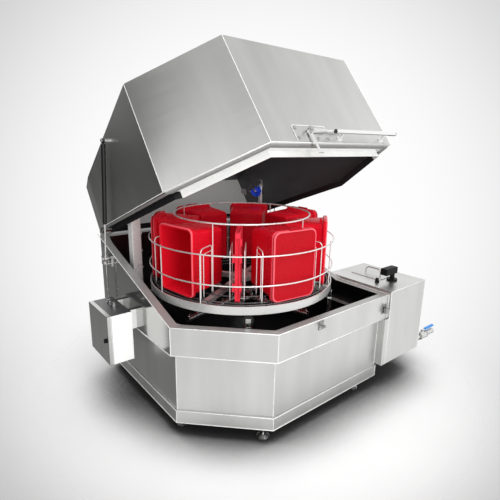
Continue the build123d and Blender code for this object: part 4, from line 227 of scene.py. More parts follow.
def piece_of(name, mesh, body, *finishes):
    """Puts a finished mesh in the scene, riding on a body."""
    mesh.name = name
    made = put(name, mesh)
    for finish in finishes:
        mesh.materials.append(finish)
    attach(made, body)
    return made


def bead(name, lines, radius, body, finish):
    """Slim round beads along lines of points, as one mesh that rides on a body."""
    path = bpy.data.curves.new(name, "CURVE")
    path.dimensions = "3D"
    path.bevel_depth = radius
    path.bevel_resolution = 2
    path.use_fill_caps = True
    for points in lines:
        run = path.splines.new("POLY")
        run.points.add(len(points) - 1)
        for place, point in zip(run.points, points):
            place.co = (*point, 1.0)
    drawn = bpy.data.objects.new(name, path)
    mesh = bpy.data.meshes.new_from_object(drawn)
    bpy.data.objects.remove(drawn)
    mesh.materials.clear()
    return piece_of(name, mesh, body, finish)


def polished_wire(name, bright, dull, low, high, metal=1.0, axis="Z", gloss=0.24):
    """Electropolished bar and wire: slow waves in the gloss, and duller towards the low end of an axis."""
    wave = 0.08
    finish, tree, shader, coords = new_finish(name, metallic=metal)
    place = coords.outputs["Object"]
    waves = add(tree, "TexNoise", {"Vector": place, "Scale": 1 / wave, "Detail": 2.0})
    height = add(tree, "SeparateXYZ", {"Vector": place})
    high_end_share = add(tree, "MapRange", {"Value": height.outputs[axis], "From Min": low, "From Max": high})
    tone = add(tree, "Mix", {"Factor": high_end_share.outputs["Result"], "A": linear(dull), "B": linear(bright)},
               data_type="RGBA")
    uneven = add(tree, "MapRange", {"Value": waves.outputs["Fac"], "From Min": 0.3, "From Max": 0.7,
                                    "To Min": gloss, "To Max": gloss + 0.1})
    link_up(tree, shader, tone, uneven)
    return finish


seam_highlight = polished_wire("mopped_stainless_seam", "#F6F6F4", "#E8E8E6", 0.1, 0.6, metal=0.3)
left, right_side, front, back = -672.0, 700.0, -665.0, 735.0
chamfer = 400.0
bend_y = front + chamfer
rim_slope = 318.0 / 1000.0


def corners(inset):
    """The three visible front corners of the cabinet's plan, moved inwards, in mm."""
    slip = inset * (math.sqrt(2) - 1)
    return [(left + inset, bend_y + slip), (left + chamfer + slip, front + inset),
            (right_side - inset, front + inset)]


def rear_corners(inset):
    """The two rear corners of the cabinet's plan, from right to left."""
    return [(right_side - inset, back - inset), (left + inset, back - inset)]


def rim_line(point, level, rear_y, rear_z):
    """A rim's edge: level round the front, then up to the back on both sides. point places each spot."""
    inset = 0.8
    line = [point(left + inset, rear_y, rear_z)]
    line += [point(x, y, level) for x, y in corners(inset)]
    line += [point(right_side - inset, bend_y, level), point(right_side - inset, rear_y, rear_z)]
    return line


edge_highlight_lines = []
band_upright = 1.0, 515, 668, False
casing_upright = 39.0, 164, 510, True
plinth_upright = 31.0, 88, 160, True
for inset, low, high, rear in (band_upright, casing_upright, plinth_upright):
    plan = corners(inset) + (rear_corners(inset) if rear else [])
    edge_highlight_lines += [[at(x, y, low), at(x, y, high)] for x, y in plan]
for inset, z in ((-0.6, 513.0), (29.6, 161.0), (29.6, 86.5)):
    loop = rear_corners(inset)[1:] + corners(inset) + rear_corners(inset)
    edge_highlight_lines.append([at(x, y, z) for x, y in loop])
rim_z, rim_rear_y = 672, 733
edge_highlight_lines.append(rim_line(at, rim_z - 0.5, rim_rear_y, rim_z + (rim_rear_y - bend_y) * rim_slope))
bead("cabinet_seams", edge_highlight_lines, 0.0026, "base", seam_highlight)


# Hood: upright walls under a flat roof, welded from ground sheet, with a flange and a drip lip round
# its mouth. It stands open, swung back about the rear hinges.

hinge_joint = next(joint for joint in frame["record"]["behaviour"]["joints"] if joint["name"] == "lid_hinge")
hinge = Vector(hinge_joint["pos_m"])
swing = math.radians(-37.4)
opened = Matrix.Translation(hinge) @ Matrix.Rotation(swing, 4, "X") @ Matrix.Translation(-hinge)
tilt = opened.to_3x3()
hood_front = tilt @ Vector((0, -1, 0))


def on_lid(x, y, z):
    """A point on the hood, given in mm as if it were shut, where it is with the hood open."""
    return opened @ at(x, y, z)


# The hood's inner faces are painted dark grey as shade, and its inner rear wall, turned to the front, a
# lighter grey as painted light.
lid_steel = ground_steel("ground_stainless_hood", "#DDDDDB", "#D2D2D0", lean=swing,
                         inside_shade=(on_lid(14, 60, 1100), "#5E5E60", 0.5),
                         within_light=[(hood_front, "#D2D2D0", 0.25, 0.34)])
dress(lid_steel, "lid_shell", "latch_plate")
# The drip lip is near white and little metallic, a painted reflection of the bright floor; behind the left
# bend and round the right corner it is painted dark as shade.
in_shade = "#3C3C3E", 0.9, 0.75
lip_light_and_shade = ground_steel("ground_stainless_lip", "#F2F2F0", "#E8E8E6", lean=swing, metal=0.3,
                         beyond=[(on_lid(0, bend_y, 700), -hood_front, *in_shade),
                                 (on_lid(632, -560, 700), tilt @ Vector((1, 1, 0)), *in_shade)])
dress(lip_light_and_shade, "lid_rim_frame")
roof_z, edge_z, edge_rear_y = 1345.0, 684.0, 600
hood_highlight_lines = [[on_lid(x, y, edge_z + 2), on_lid(x, y, roof_z - 4)] for x, y in corners(1.6)]
hood_highlight_lines.append(rim_line(on_lid, edge_z + 0.8, edge_rear_y, edge_z + (edge_rear_y - bend_y) * rim_slope))
bead("hood_seams", hood_highlight_lines, 0.0023, "lid", seam_highlight)


# Lid seal: an extruded strip of grey silicone in the flange, matte with a faint extrusion grain.
# The shaft seal and the belt are black moulded rubber.

def rubber(name, colour, worn):
    """Moulded rubber: matte, with a fine grain and greyer worn places."""
    grit, patch = 0.004, 0.06
    finish, tree, shader, coords = new_finish(name)
    place = coords.outputs["Object"]
    grain = add(tree, "TexNoise", {"Vector": place, "Scale": 1 / grit, "Detail": 2.0})
    wear_and_highlight = add(tree, "TexNoise", {"Vector": place, "Scale": 1 / patch, "Detail": 3.0})
    tone = add(tree, "Mix", {"Factor": wear_and_highlight.outputs["Fac"], "A": linear(colour), "B": linear(worn)},
               data_type="RGBA")
    gloss = add(tree, "MapRange", {"Value": grain.outputs["Fac"], "To Min": 0.55, "To Max": 0.8})
    marks = add(tree, "Bump", {"Height": grain.outputs["Fac"], "Strength": 0.2, "Distance": 0.0004})
    link_up(tree, shader, tone, gloss, marks)
    return finish


dress(rubber("extruded_silicone", "#8E8E8C", "#7A7A78"), "lid_seal")
black_rubber = rubber("moulded_rubber", "#141414", "#3A3A3A")
dress(black_rubber, "shaft_seal", "drive_belt")


# Hinges, brackets, latch and handle: cut stainless plate and round rod, polished bright. The hinge arms
# and strut studs are bolted to the hood. The keeper and the lid switch are bead-blasted and greyer.

plate_steel = turned_steel("electropolished_plate", "#DEDEDC", ring=0.006)
dress(plate_steel, "hinge_brackets", "strut_brackets", "lid_fittings")
mirror_bar = polished_wire("mirror_polished_bar", "#F4F4F4", "#E8E8E8", 0.5, 1.5, gloss=0.07)
dress(mirror_bar, "lid_handle", "latch_lever")
dress(turned_steel("bead_blasted_plate", "#9C9C9C", ring=0.006), "latch_keeper", "safety_switch")


# Handle plugs: small black discs pressed into the ends of the grab bar. They are moulded in hard rubber
# and have a rounded edge.

def rod(shape, sides, radius, depth, place):
    """Adds a round or many-sided rod to a shape, at its place, and gives its corners."""
    return bmesh.ops.create_cone(shape, cap_ends=True, segments=sides, radius1=radius, radius2=radius,
                                 depth=depth, matrix=place)["verts"]


def edges_at(verts):
    """All the edges that meet at some corners, each once."""
    return list(dict.fromkeys(edge for vert in verts for edge in vert.link_edges))


def round_off(shape, geom, offset, segments=2, affect="EDGES"):
    """Rounds some edges of a shape or, with VERTICES, some corners of a flat one."""
    bmesh.ops.bevel(shape, geom=geom, offset=offset, affect=affect, segments=segments, profile=0.5,
                    material=-1)


def to_mesh(shape, name, smooth=False):
    """Turns a finished shape into a mesh, shaded smooth up to its sharp edges if asked."""
    mesh = bpy.data.meshes.new(name)
    shape.to_mesh(mesh)
    shape.free()
    if smooth:
        mesh.shade_smooth()
        mesh.set_sharp_from_angle(angle=math.radians(40))
    return mesh


plug_radius, plug_depth, plug_round = 0.0115, 0.006, 0.0012
bar_left, bar_right, bar_y, bar_z = 160, 700, -717, 720
plug_out = 1
plugs = bmesh.new()
for end_x in (bar_left - plug_out, bar_right + plug_out):
    place = Matrix.Translation(on_lid(end_x, bar_y, bar_z)) @ Matrix.Rotation(math.pi / 2, 4, "Y")
    plug = rod(plugs, 32, plug_radius, plug_depth, place)
    round_off(plugs, edges_at(plug), plug_round)
piece_of("handle_plugs", to_mesh(plugs, "handle_plugs"), "lid", black_rubber)


# Hexagon bolts: cold-forged stainless screws with washers, which hold the plates to the sheet metal.
# The latch plate's cut edge gets a bead of painted highlight like the cabinet's edges.

def hex_bolts(name, places, across, body):
    """Bolt heads with washers as one mesh: each place is a point in metres and the way it faces. across
    is the width over the flats in mm, and the other sizes are shares of it."""
    washer_radius, washer_height = 0.95, 0.14
    head_radius, head_height, head_middle, head_round = 0.577, 0.44, 0.34, 0.04
    heads = bmesh.new()
    for point, way in places:
        turn = Matrix.Translation(point) @ Vector(way).to_track_quat("Z", "Y").to_matrix().to_4x4()
        turn = turn @ Matrix.Scale(across / 1000, 4)
        washer_place = turn @ Matrix.Translation((0, 0, washer_height / 2))
        rod(heads, 24, washer_radius, washer_height, washer_place)
        head = rod(heads, 6, head_radius, head_height, turn @ Matrix.Translation((0, 0, head_middle)))
        round_off(heads, edges_at(head), head_round * across / 1000)
    return piece_of(name, to_mesh(heads, name), body, bolt_steel)


bolt_steel = polished_wire("cold_forged_stainless", "#C8C8C6", "#B0B0AE", 0.4, 1.2, gloss=0.18)
plate_y, lever_y, band_y = -668, -691, -669
forwards = 0, -1, 0
plate_holes = (-75, 710), (-75, 770), (66, 708), (139, 708)
hex_bolts("latch_plate_bolts", [(on_lid(x, plate_y, z), hood_front) for x, z in plate_holes], 13, "lid")
hex_bolts("latch_pivot_nut", [(on_lid(12, lever_y, 750), hood_front)], 19, "lid")
keeper_holes = (33, 620.5), (58.6, 658)
hex_bolts("keeper_bolts", [(at(x, band_y, z), forwards) for x, z in keeper_holes], 8, "base")
bracket_bolts = [(at(x, y, z), (way, 0, 0)) for x, way in ((-677, -1), (705, 1))
                 for y in (497, 549) for z in (827, 881)]
hex_bolts("strut_bracket_bolts", bracket_bolts, 7, "base")
switch_holes = (640, 609), (670, 609)
hex_bolts("switch_bolts", [(at(x, band_y, z), forwards) for x, z in switch_holes], 8, "base")
plate_outline = (-93, 694), (-93, 778), (-83, 788), (147, 788), (157, 778)
bead("latch_plate_edge", [[on_lid(x, plate_y, z) for x, z in plate_outline]], 0.0018, "lid", seam_highlight)


# Gas struts: steel barrels sprayed with black enamel, and hard-chromed rods. The upper eye turns on a
# stud on the hood, and a pin through the lower eye runs in the slots of the tub's bracket.

def dimmed(colour, share):
    """A hex colour in linear values, darkened to a share of its light."""
    return tuple(c * share for c in linear(colour)[:3]) + (1.0,)


def enamel(name, colour, rough):
    """Sprayed enamel: smooth, with slight orange peel and dust specks in the gloss."""
    speck, patch = 0.003, 0.05
    finish, tree, shader, coords = new_finish(name, coat_weight=0.3, coat_roughness=0.15)
    place = coords.outputs["Object"]
    peel = add(tree, "TexNoise", {"Vector": place, "Scale": 1 / speck, "Detail": 1.0})
    wear = add(tree, "TexNoise", {"Vector": place, "Scale": 1 / patch, "Detail": 4.0})
    tone = add(tree, "Mix", {"Factor": wear.outputs["Fac"], "A": dimmed(colour, 0.72), "B": linear(colour)},
               data_type="RGBA")
    gloss = add(tree, "MapRange", {"Value": wear.outputs["Fac"], "To Min": rough - 0.08,
                                   "To Max": rough + 0.1})
    marks = add(tree, "Bump", {"Height": peel.outputs["Fac"], "Strength": 0.08, "Distance": 0.0006})
    link_up(tree, shader, tone, gloss, marks)
    return finish


dress(enamel("black_enamel", "#161616", 0.3), "strut_cylinder_left", "strut_cylinder_right")
chromed = polished_wire("hard_chrome", "#FFFFFF", "#F4F4F4", 0.5, 1.5, metal=0.7, gloss=0.10)
dress(chromed, "strut_rod_left", "strut_rod_right")


# Basket: a rolled flat-bar ring on box spokes, and welded wire round and above it, all electropolished.
# The floor wires and spokes are greyer than the cage, darker towards the bottom.

wire_steel = polished_wire("electropolished_wire", "#FAFAF8", "#6C6C6E", 0.785, 0.80, metal=0.6)
dress(wire_steel, "basket_rack")
first_bin, bin_pitch, tray_angle = 264.0, 47.5, 230.0
floor_z, hoop_z, tray_hoop_z = 777, 1032, 1064


def hairpin(outer, inner, top, bend):
    """A wire bent into a hoop, as (radius, height) in mm: up the outer leg, across, down the inner leg."""
    up = [(outer, floor_z), (outer, top - 12), (outer - bend + 8, top - 4), (outer - bend, top)]
    down = [(inner + bend, top), (inner + bend - 8, top - 4), (inner, top - 12), (inner, floor_z)]
    return up + down


hoop = hairpin(523, 425, hoop_z, 11)
half_hoop = hoop[:4] + [(425, hoop_z)]
routes = [(first_bin + bin_pitch * (count + 0.5), hoop) for count in range(6)]
routes += [(209.5, half_hoop), (243.6, half_hoop)]
hairpins = []
for angle, route in routes:
    along_x, along_y = math.cos(math.radians(angle)), math.sin(math.radians(angle))
    hairpins.append([at(radius * along_x, radius * along_y, z) for radius, z in route])
tray_way = Matrix.Rotation(math.radians(tray_angle), 3, "Z")
tray_hoop, tray_bar = hairpin(522, 318, tray_hoop_z, 12), [(522, hoop_z), (318, hoop_z)]
for off in (36, -40):
    for route in (tray_hoop, tray_bar):
        hairpins.append([at(*(tray_way @ Vector((radius, off, 0))).xy, z) for radius, z in route])
bead("divider_hairpins", hairpins, 0.0022, "basket", wire_steel)
cage_steel = polished_wire("electropolished_cage", "#F6F6F4", "#D8D8D6", 0.70, 0.80, metal=0.8)
dress(cage_steel, "basket_cage")
ring_steel = polished_wire("electropolished_bar", "#D4D4D2", "#B4B4B4", 0.70, 0.735, metal=0.6)
dress(ring_steel, "basket_base", "main_shaft")


# Bins and bin lids: injection-moulded polyethylene in strong red. The walls taper to the closed end, the
# mouth has a rounded turned-over rim, and the rims and borders are a paler red as painted highlight.

def moulded(name, light, dark, rough=0.3):
    """Moulded plastic: glossy, slightly uneven in colour, with faint flow marks in the skin."""
    flow_size, skin_size = 0.09, 0.005
    finish, tree, shader, coords = new_finish(name, specular_ior_level=0.10)
    place = coords.outputs["Object"]
    flow = add(tree, "TexNoise", {"Vector": place, "Scale": 1 / flow_size, "Detail": 3.0, "Distortion": 0.6})
    skin = add(tree, "TexNoise", {"Vector": place, "Scale": 1 / skin_size, "Detail": 2.0})
    tone = add(tree, "Mix", {"Factor": flow.outputs["Fac"], "A": linear(dark), "B": linear(light)},
               data_type="RGBA")
    gloss = add(tree, "MapRange", {"Value": skin.outputs["Fac"], "From Min": 0.3, "From Max": 0.7,
                                   "To Min": rough - 0.06, "To Max": rough + 0.1})
    marks = add(tree, "Bump", {"Height": skin.outputs["Fac"], "Strength": 0.06, "Distance": 0.0004})
    link_up(tree, shader, tone, gloss, marks)
    return finish


bin_red = moulded("moulded_red_polyethylene", "#E0162A", "#D21022", 0.26)
# The lids take the bins' red darkened, as painted shade.
shaded_lid_red = moulded("moulded_deep_red_polyethylene", "#B80E1E", "#AC0A18", 0.26)
# Rims and borders take a paler red, a painted highlight.
rim_highlight_red = moulded("rubbed_red_polyethylene", "#F2707A", "#E4525E", 0.34)
stand_clearance, bin_half_height = 0.3, 194.0
bin_middle_z = floor_z + stand_clearance + bin_half_height


def block(shape, middle, size, offset, segments=2, turn=Matrix.Identity(4)):
    """Adds a box with rounded edges to a shape."""
    place = turn @ Matrix.Translation(middle) @ Matrix.Diagonal((*size, 1))
    made = bmesh.ops.create_cube(shape, size=1.0, matrix=place)
    round_off(shape, edges_at(made["verts"]), offset, segments)


def rounded_sheet(shape, x, size, corner):
    """A rounded rectangle across the X axis, in mm, as the first face of a moulding."""
    made = bmesh.ops.create_grid(shape, x_segments=1, y_segments=1, size=0.5)["verts"]
    turn = Matrix.Translation((x, 0, 0)) @ Matrix.Rotation(math.pi / 2, 4, "Y")
    bmesh.ops.transform(shape, matrix=turn @ Matrix.Diagonal((size[1], size[0], 1, 1)), verts=made)
    round_off(shape, made, corner, 6, "VERTICES")
    return max(shape.faces, key=lambda face: face.calc_area())


def verts_in(made):
    """The corners among what an operation made."""
    return [item for item in made if isinstance(item, bmesh.types.BMVert)]


def draw_out(shape, start_x, size, corner, stations):
    """Extrudes a rounded sheet from station to station (x, width, height, rubbed); 1 there paints a
    highlight.
    """
    face = rounded_sheet(shape, start_x, size, corner)
    width, height = size
    for count, (x, new_width, new_height, wear_and_highlight) in enumerate(stations):
        made = bmesh.ops.extrude_face_region(shape, geom=[face])["geom"]
        if count and face.is_valid:
            bmesh.ops.delete(shape, geom=[face], context="FACES_ONLY")
        corners_made = verts_in(made)
        face = next(item for item in made if isinstance(item, bmesh.types.BMFace))
        here = face.calc_center_median().x
        bmesh.ops.translate(shape, vec=(x - here, 0, 0), verts=corners_made)
        bmesh.ops.scale(shape, vec=(1, new_width / width, new_height / height), verts=corners_made)
        for edge in face.edges:
            for side in edge.link_faces:
                if side is not face:
                    side.material_index = wear_and_highlight
        width, height = new_width, new_height


def bin_mould(shape):
    """One bin along the X axis: closed end, wall, rolled rim, and the inner wall back to the floor."""
    draw_out(shape, start_x=280, size=(202, 314), corner=24, stations=[
        (282, 214, 326, 0), (286, 222, 334, 0), (294, 227, 339, 0), (400, 244.8, 352.1, 0),
        (505, 261.3, 364.5, 0), (507, 264, 367, 0), (509, 276, 378, 0), (512, 283, 385, 0),
        (516, 286, 388, 0), (529, 286, 388, 0), (533, 283, 385, 1), (535, 276, 378, 1),
        (534.5, 266, 368, 0), (531, 259, 361, 0), (524, 256.5, 358.5, 0), (400, 237, 344, 0),
        (296, 219, 331, 0), (288, 214, 326, 0), (285, 202, 314, 0)])
    for nub_y in (-34, 0, 34):
        block(shape, (494, nub_y, 184), (14, 12, 12), 3, 3)


def lid_mould(shape):
    """One bin lid along the X axis: a flat plate with a rounded border raised round it, and a grip."""
    draw_out(shape, start_x=535.2, size=(280, 382), corner=36, stations=[
        (537, 286, 388, 0), (544, 286, 388, 0), (547, 283, 385, 1), (548, 278, 380, 1), (547.5, 270, 372, 1),
        (544, 264, 366, 0), (543.2, 258, 360, 0)])
    block(shape, (542, 0, 195), (11, 90, 11), 4, 3)


def moulding(name, node, mould, angles, finishes, z=bin_middle_z):
    """Makes a moulding at each angle round the basket, in place of a CAD node."""
    whole = bmesh.new()
    for angle in angles:
        one = bmesh.new()
        mould(one)
        bmesh.ops.recalc_face_normals(one, faces=one.faces)
        turn = Matrix.Translation(at(0, 0, z)) @ Matrix.Rotation(math.radians(angle), 4, "Z")
        bmesh.ops.transform(one, matrix=turn @ Matrix.Scale(0.001, 4), verts=one.verts)
        part = to_mesh(one, name)
        whole.from_mesh(part)
        bpy.data.meshes.remove(part)
    made = piece_of(name, to_mesh(whole, name, smooth=True), "basket", *finishes)
    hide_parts(node)


bin_angles = [first_bin + bin_pitch * count for count in range(7)]
lidded_angles = [bin_angles[place] for place in (0, 2, 4, 5)]
moulding("moulded_bins", "lidded_bins", bin_mould, lidded_angles, (bin_red, rim_highlight_red))
moulding("moulded_lids", "bin_lids", lid_mould, lidded_angles, (shaded_lid_red, rim_highlight_red))
for count, place in enumerate((1, 3, 6), 1):
    moulding(f"moulded_open_bin_{count}", f"open_bin_{count}", bin_mould, [bin_angles[place]],
             (bin_red, rim_highlight_red))


# Flat tray: moulded like the bins in a lighter red, standing on edge in the wide bay. Its border is
# hollow along the edge, one face is sunk with ribs across it, and lugs clip it to the next tray.

def tray_mould(shape):
    """The tray along the X axis, standing on Z = 0 with its thickness across Y, in mm."""
    middle_x, length, thickness, height = 395, 290, 28, 380
    middle_z = height / 2
    place = Matrix.Translation((middle_x, 0, middle_z)) @ Matrix.Diagonal((length, thickness, height, 1))
    bmesh.ops.create_cube(shape, size=1.0, matrix=place)
    through = [edge for edge in shape.edges if abs((edge.verts[0].co - edge.verts[1].co).y) > 1]
    round_off(shape, through, 22, 5)
    shape.normal_update()
    walls = sorted(shape.faces, key=lambda face: face.normal.y)
    bmesh.ops.inset_individual(shape, faces=[walls[0], walls[-1]], thickness=13.0, depth=0.0)
    for face, depth in ((walls[0], 9.0), (walls[-1], -2.5)):
        sunk = bmesh.ops.extrude_face_region(shape, geom=[face])["geom"]
        bmesh.ops.delete(shape, geom=[face], context="FACES_ONLY")
        bmesh.ops.translate(shape, vec=(0, depth, 0), verts=verts_in(sunk))
    shape.normal_update()
    edge_band = []
    for face in shape.faces:
        spot = face.calc_center_median()
        outer = abs(spot.x - middle_x) > length / 2 - 5 or abs(spot.z - middle_z) > height / 2 - 5
        if outer and abs(face.normal.y) < 0.2 and abs(spot.y) < 1.0 and face.calc_area() > 200:
            edge_band.append(face)
    bmesh.ops.inset_region(shape, faces=edge_band, thickness=5.0, depth=0.0, use_even_offset=True)
    bmesh.ops.inset_region(shape, faces=edge_band, thickness=1.0, depth=-11.0, use_even_offset=True)
    sharp = [edge for edge in shape.edges if len(edge.link_faces) == 2 and edge.calc_face_angle() > 0.9]
    round_off(shape, sharp, 1.2)
    ribs = [((x, -7.5, middle_z), (4, 7, 340)) for x in (310, 355, 400, 445, 490)]
    ribs += [((middle_x, -7.5, z), (250, 5, 4)) for z in (95, 190, 285)]
    lugs = []
    for lug_z in (height * 0.22, height * 0.64):
        lugs += [((520, -17, lug_z), (28, 22, 44)), ((520, 14, lug_z), (28, 16, 44)),
                 ((526, -26, lug_z + 14), (16, 8, 12)), ((526, -26, lug_z - 14), (16, 8, 12))]
    lugs.append(((519, 10, 330), (26, 26, 40)))
    for middle, size in ribs + lugs:
        block(shape, middle, size, min(size) * 0.2)


tray_red = moulded("moulded_light_red_polyethylene", "#E83A4C", "#D42A3C", 0.32)
moulding("moulded_tray", "flat_tray", tray_mould, [tray_angle], (tray_red,), floor_z + stand_clearance)


# Rollers and posts: black polyamide wheels turned on a lathe, which run under the basket's ring. Each
# turns on an axle fixed in the fork of a square stainless post on the tub's floor.

rollers = [f"support_roller_{count}" for count in (1, 2, 3, 4)]
dress(moulded("turned_polyamide", "#2A2A2A", "#1E1E1E", 0.45), *rollers)
dress(plate_steel, "roller_posts")


# Bearing and drive: housing, pulleys and pump are sand castings under one coat of grey, and the motors
# are painted blue-grey. One hangs under the tub's floor, and the pump's stands on the plinth's shelf.

def casting(name, colour):
    """Sand casting under one coat of paint: rough, mottled and matte."""
    sand_size, stain_size = 0.006, 0.05
    finish, tree, shader, coords = new_finish(name)
    place = coords.outputs["Object"]
    sand = add(tree, "TexNoise", {"Vector": place, "Scale": 1 / sand_size, "Detail": 4.0})
    stain = add(tree, "TexNoise", {"Vector": place, "Scale": 1 / stain_size, "Detail": 3.0})
    tone = add(tree, "Mix", {"Factor": stain.outputs["Fac"], "A": dimmed(colour, 0.6), "B": linear(colour)},
               data_type="RGBA")
    gloss = add(tree, "MapRange", {"Value": sand.outputs["Fac"], "To Min": 0.4, "To Max": 0.65})
    marks = add(tree, "Bump", {"Height": sand.outputs["Fac"], "Strength": 0.4, "Distance": 0.0008})
    link_up(tree, shader, tone, gloss, marks)
    return finish


dress(casting("cast_iron_grey", "#6A6C6E"), "bearing_housing", "basket_pulley", "motor_pulley", "pump_casing",
      "pump_impeller")
motor_paint = casting("painted_motor", "#54606C")
dress(motor_paint, "drive_motor", "pump_motor")


# Spray pipes: drawn stainless tube with short nozzles, as bright as the other pipes and fittings. The
# riser's arm lies under the hood, and its dark grey is painted shade. The square, hollow column has its own
# nozzles.

dress(plate_steel, "lower_spray", "riser_valve", "pump_pipes", "drain_valve", "heater_elements",
      "box_cable_entries")
painted_shade_x, bright_x = at(540, 0, 0).x, at(580, 0, 0).x
dress(polished_wire("drawn_stainless_riser", "#FAFAF8", "#57575A", painted_shade_x, bright_x, metal=0.45, axis="X"),
      "spray_riser")
dress(polished_wire("drawn_stainless_column", "#E6E6E4", "#CFCFCD", 0.9, 1.2, metal=0.25), "spray_column")


# Handwheel: blue moulded polyamide, a round rim on a thin web with three spokes. A nut holds it on the
# chromed stem, which runs into the bonnet of the valve clamped round the riser.

blue_plastic = moulded("moulded_blue_polyamide", "#3A66FF", "#3058F4", 0.28)
stem_turn, wheel_out, wheel_scale = math.radians(206), 0.092, 0.00107
stem_way = Vector((math.cos(stem_turn), math.sin(stem_turn), 0))
wheel_turn = stem_way.to_track_quat("Z", "Y").to_matrix().to_4x4()
wheel_place = Matrix.Translation(at(610, 540, 1238) + stem_way * wheel_out) @ wheel_turn
wheel_place = wheel_place @ Matrix.Scale(wheel_scale, 4)
wheel = bmesh.new()
profile = [(0, 8), (11, 8), (13, 6), (14, 2), (30, 2), (32.5, 5), (37, 7), (41.5, 5.4), (44, 0), (41.5, -5.4),
           (37, -7), (32.5, -5), (30, -2), (14, -2), (13, -9), (0, -9)]
line = [wheel.verts.new((radius, 0, z)) for radius, z in profile]
section = [wheel.edges.new(pair) for pair in zip(line, line[1:])]
bmesh.ops.spin(wheel, geom=line + section, cent=(0, 0, 0), axis=(0, 0, 1), angle=math.tau, steps=48,
               use_merge=True)
bmesh.ops.remove_doubles(wheel, verts=wheel.verts, dist=0.01)
for spoke_turn in (0, 120, 240):
    block(wheel, (22, 0, 0), (24, 10, 8), 2, turn=Matrix.Rotation(math.radians(spoke_turn), 4, "Z"))
bmesh.ops.recalc_face_normals(wheel, faces=wheel.faces)
bmesh.ops.transform(wheel, matrix=wheel_place, verts=wheel.verts)
wheel_mesh = to_mesh(wheel, "moulded_handwheel", smooth=True)
blue_wheel = piece_of("moulded_handwheel", wheel_mesh, "spray_handwheel", blue_plastic)
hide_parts("handwheel")
stem = bmesh.new()
stem_rod, stem_nut = (24, 5, 67, -33.5), (6, 9, 6, 11)
for sides, radius, depth, middle_z in (stem_rod, stem_nut):
    rod(stem, sides, radius, depth, Matrix.Translation((0, 0, middle_z)))
bmesh.ops.create_uvsphere(stem, u_segments=20, v_segments=10, radius=6.5,
                          matrix=Matrix.Translation((0, 0, 13)))
bmesh.ops.transform(stem, matrix=wheel_place, verts=stem.verts)
piece_of("handwheel_stem", to_mesh(stem, "handwheel_stem"), "spray_handwheel", chromed)


# Ball valve: a two-piece body on a stub pipe, with a hexagon forged at each end for a wrench. Its flat
# lever has a sleeve of blue vinyl, made by dipping.

grip = (at(1261, 0, 0), (1, 0, 0), "#2E8AD8", 0.0, 0.36)
dress(ground_steel("dipped_vinyl_lever", "#E4E4E2", "#D8D8D6", beyond=[grip]), "valve_lever")
valve_y, valve_z = -650, 225
ends = bmesh.new()
for low, high in ((1186, 1199), (1261, 1276)):
    ring = [(low, 15), (low, 25), (low + 2, 29), (high - 2, 29), (high, 25), (high, 15)]
    loop = [ends.verts.new(at(x, valve_y, valve_z) + Vector((0, 0, radius / 1000))) for x, radius in ring]
    sides = [ends.edges.new((a, b)) for a, b in zip(loop, loop[1:] + loop[:1])]
    bmesh.ops.spin(ends, geom=loop + sides, cent=at(low, valve_y, valve_z), axis=(1, 0, 0), angle=math.tau,
                   steps=6, use_merge=True)
bmesh.ops.recalc_face_normals(ends, faces=ends.faces)
piece_of("valve_hex_ends", to_mesh(ends, "valve_hex_ends"), "base", bolt_steel)


# Pump motor fittings: the cast cooling fins round the motor's body, and the screwed cover of its
# terminal box. They are painted with the motor.

motor_x, motor_y, motor_z = 830, 56, 225
fin_radius, fin_size, fin_round = 79, (10, 150, 2.6), 0.8
cover_y, cover_z, cover_size = 6, 116, (88, 88, 6)
fins = bmesh.new()
for angle in range(0, 360, 10):
    clear_of_box, clear_of_foot = abs(angle - 90) > 35, abs(angle - 270) > 50
    if clear_of_box and clear_of_foot:
        fin_turn = Matrix.Rotation(math.radians(-angle), 4, "Y")
        block(fins, (fin_radius, 0, 0), fin_size, fin_round, turn=fin_turn)
block(fins, (0, cover_y, cover_z), cover_size, fin_round)
fin_place = Matrix.Translation(at(motor_x, motor_y, motor_z)) @ Matrix.Scale(0.001, 4)
bmesh.ops.transform(fins, matrix=fin_place, verts=fins.verts)
piece_of("pump_motor_fins", to_mesh(fins, "pump_motor_fins"), "base", motor_paint)
reach = -36, 36
cover_screws = [(at(motor_x + x, motor_y + cover_y + y, 344), (0, 0, 1)) for x in reach for y in reach]
hex_bolts("motor_cover_screws", cover_screws, 6, "base")


# Tank and control box: welded and folded from ground stainless sheet, with painted highlights on the seams.
# The tank's hatch lifts out with its strainer. The sensor, gland, contactors and lock are black moulded
# polyamide.

dress(cabinet_steel, "tank_body", "strainer_hatch")
# The control box is near white and hardly metallic, a painted light, and its top is dark grey, a painted
# shade.
box_top = (0, 0, 1), "#6C6C6E", 0.8, 0.34
dress(ground_steel("ground_stainless_box", "#FFFFFE", "#FAFAF8", metal=0.05, facing_shade=[box_top]), "control_box")
dress(cabinet_steel, "control_box_door")
dress(moulded("moulded_black_polyamide", "#1C1C1C", "#121212", 0.42), "tank_fittings", "contactor_rail",
      "door_lock")
tank_left, tank_right, tank_front, tank_rear, tank_top = 704.0, 1119.0, -679.2, -158, 691
tank_highlight_lines = [[at(x, tank_front, 180), at(x, tank_front, tank_top - 1)] for x in (tank_left, tank_right)]
tank_highlight_lines.append([at(tank_left, tank_front, tank_top), at(tank_right, tank_front, tank_top),
                   at(tank_right, tank_rear, tank_top)])
bead("tank_seams", tank_highlight_lines, 0.0023, "base", seam_highlight)
box_y, box_left, box_top_z = 111, -841, 646
box_highlight_line = [at(-674, box_y, box_top_z), at(box_left, box_y, box_top_z), at(box_left, box_y, 348)]
bead("box_seams", [box_highlight_line], 0.0022, "base", seam_highlight)


# Rear service panel: a plain sheet cover over the drive, screwed to the casing, with pressed louvres
# for the motor's air. It is ground like the cabinet.

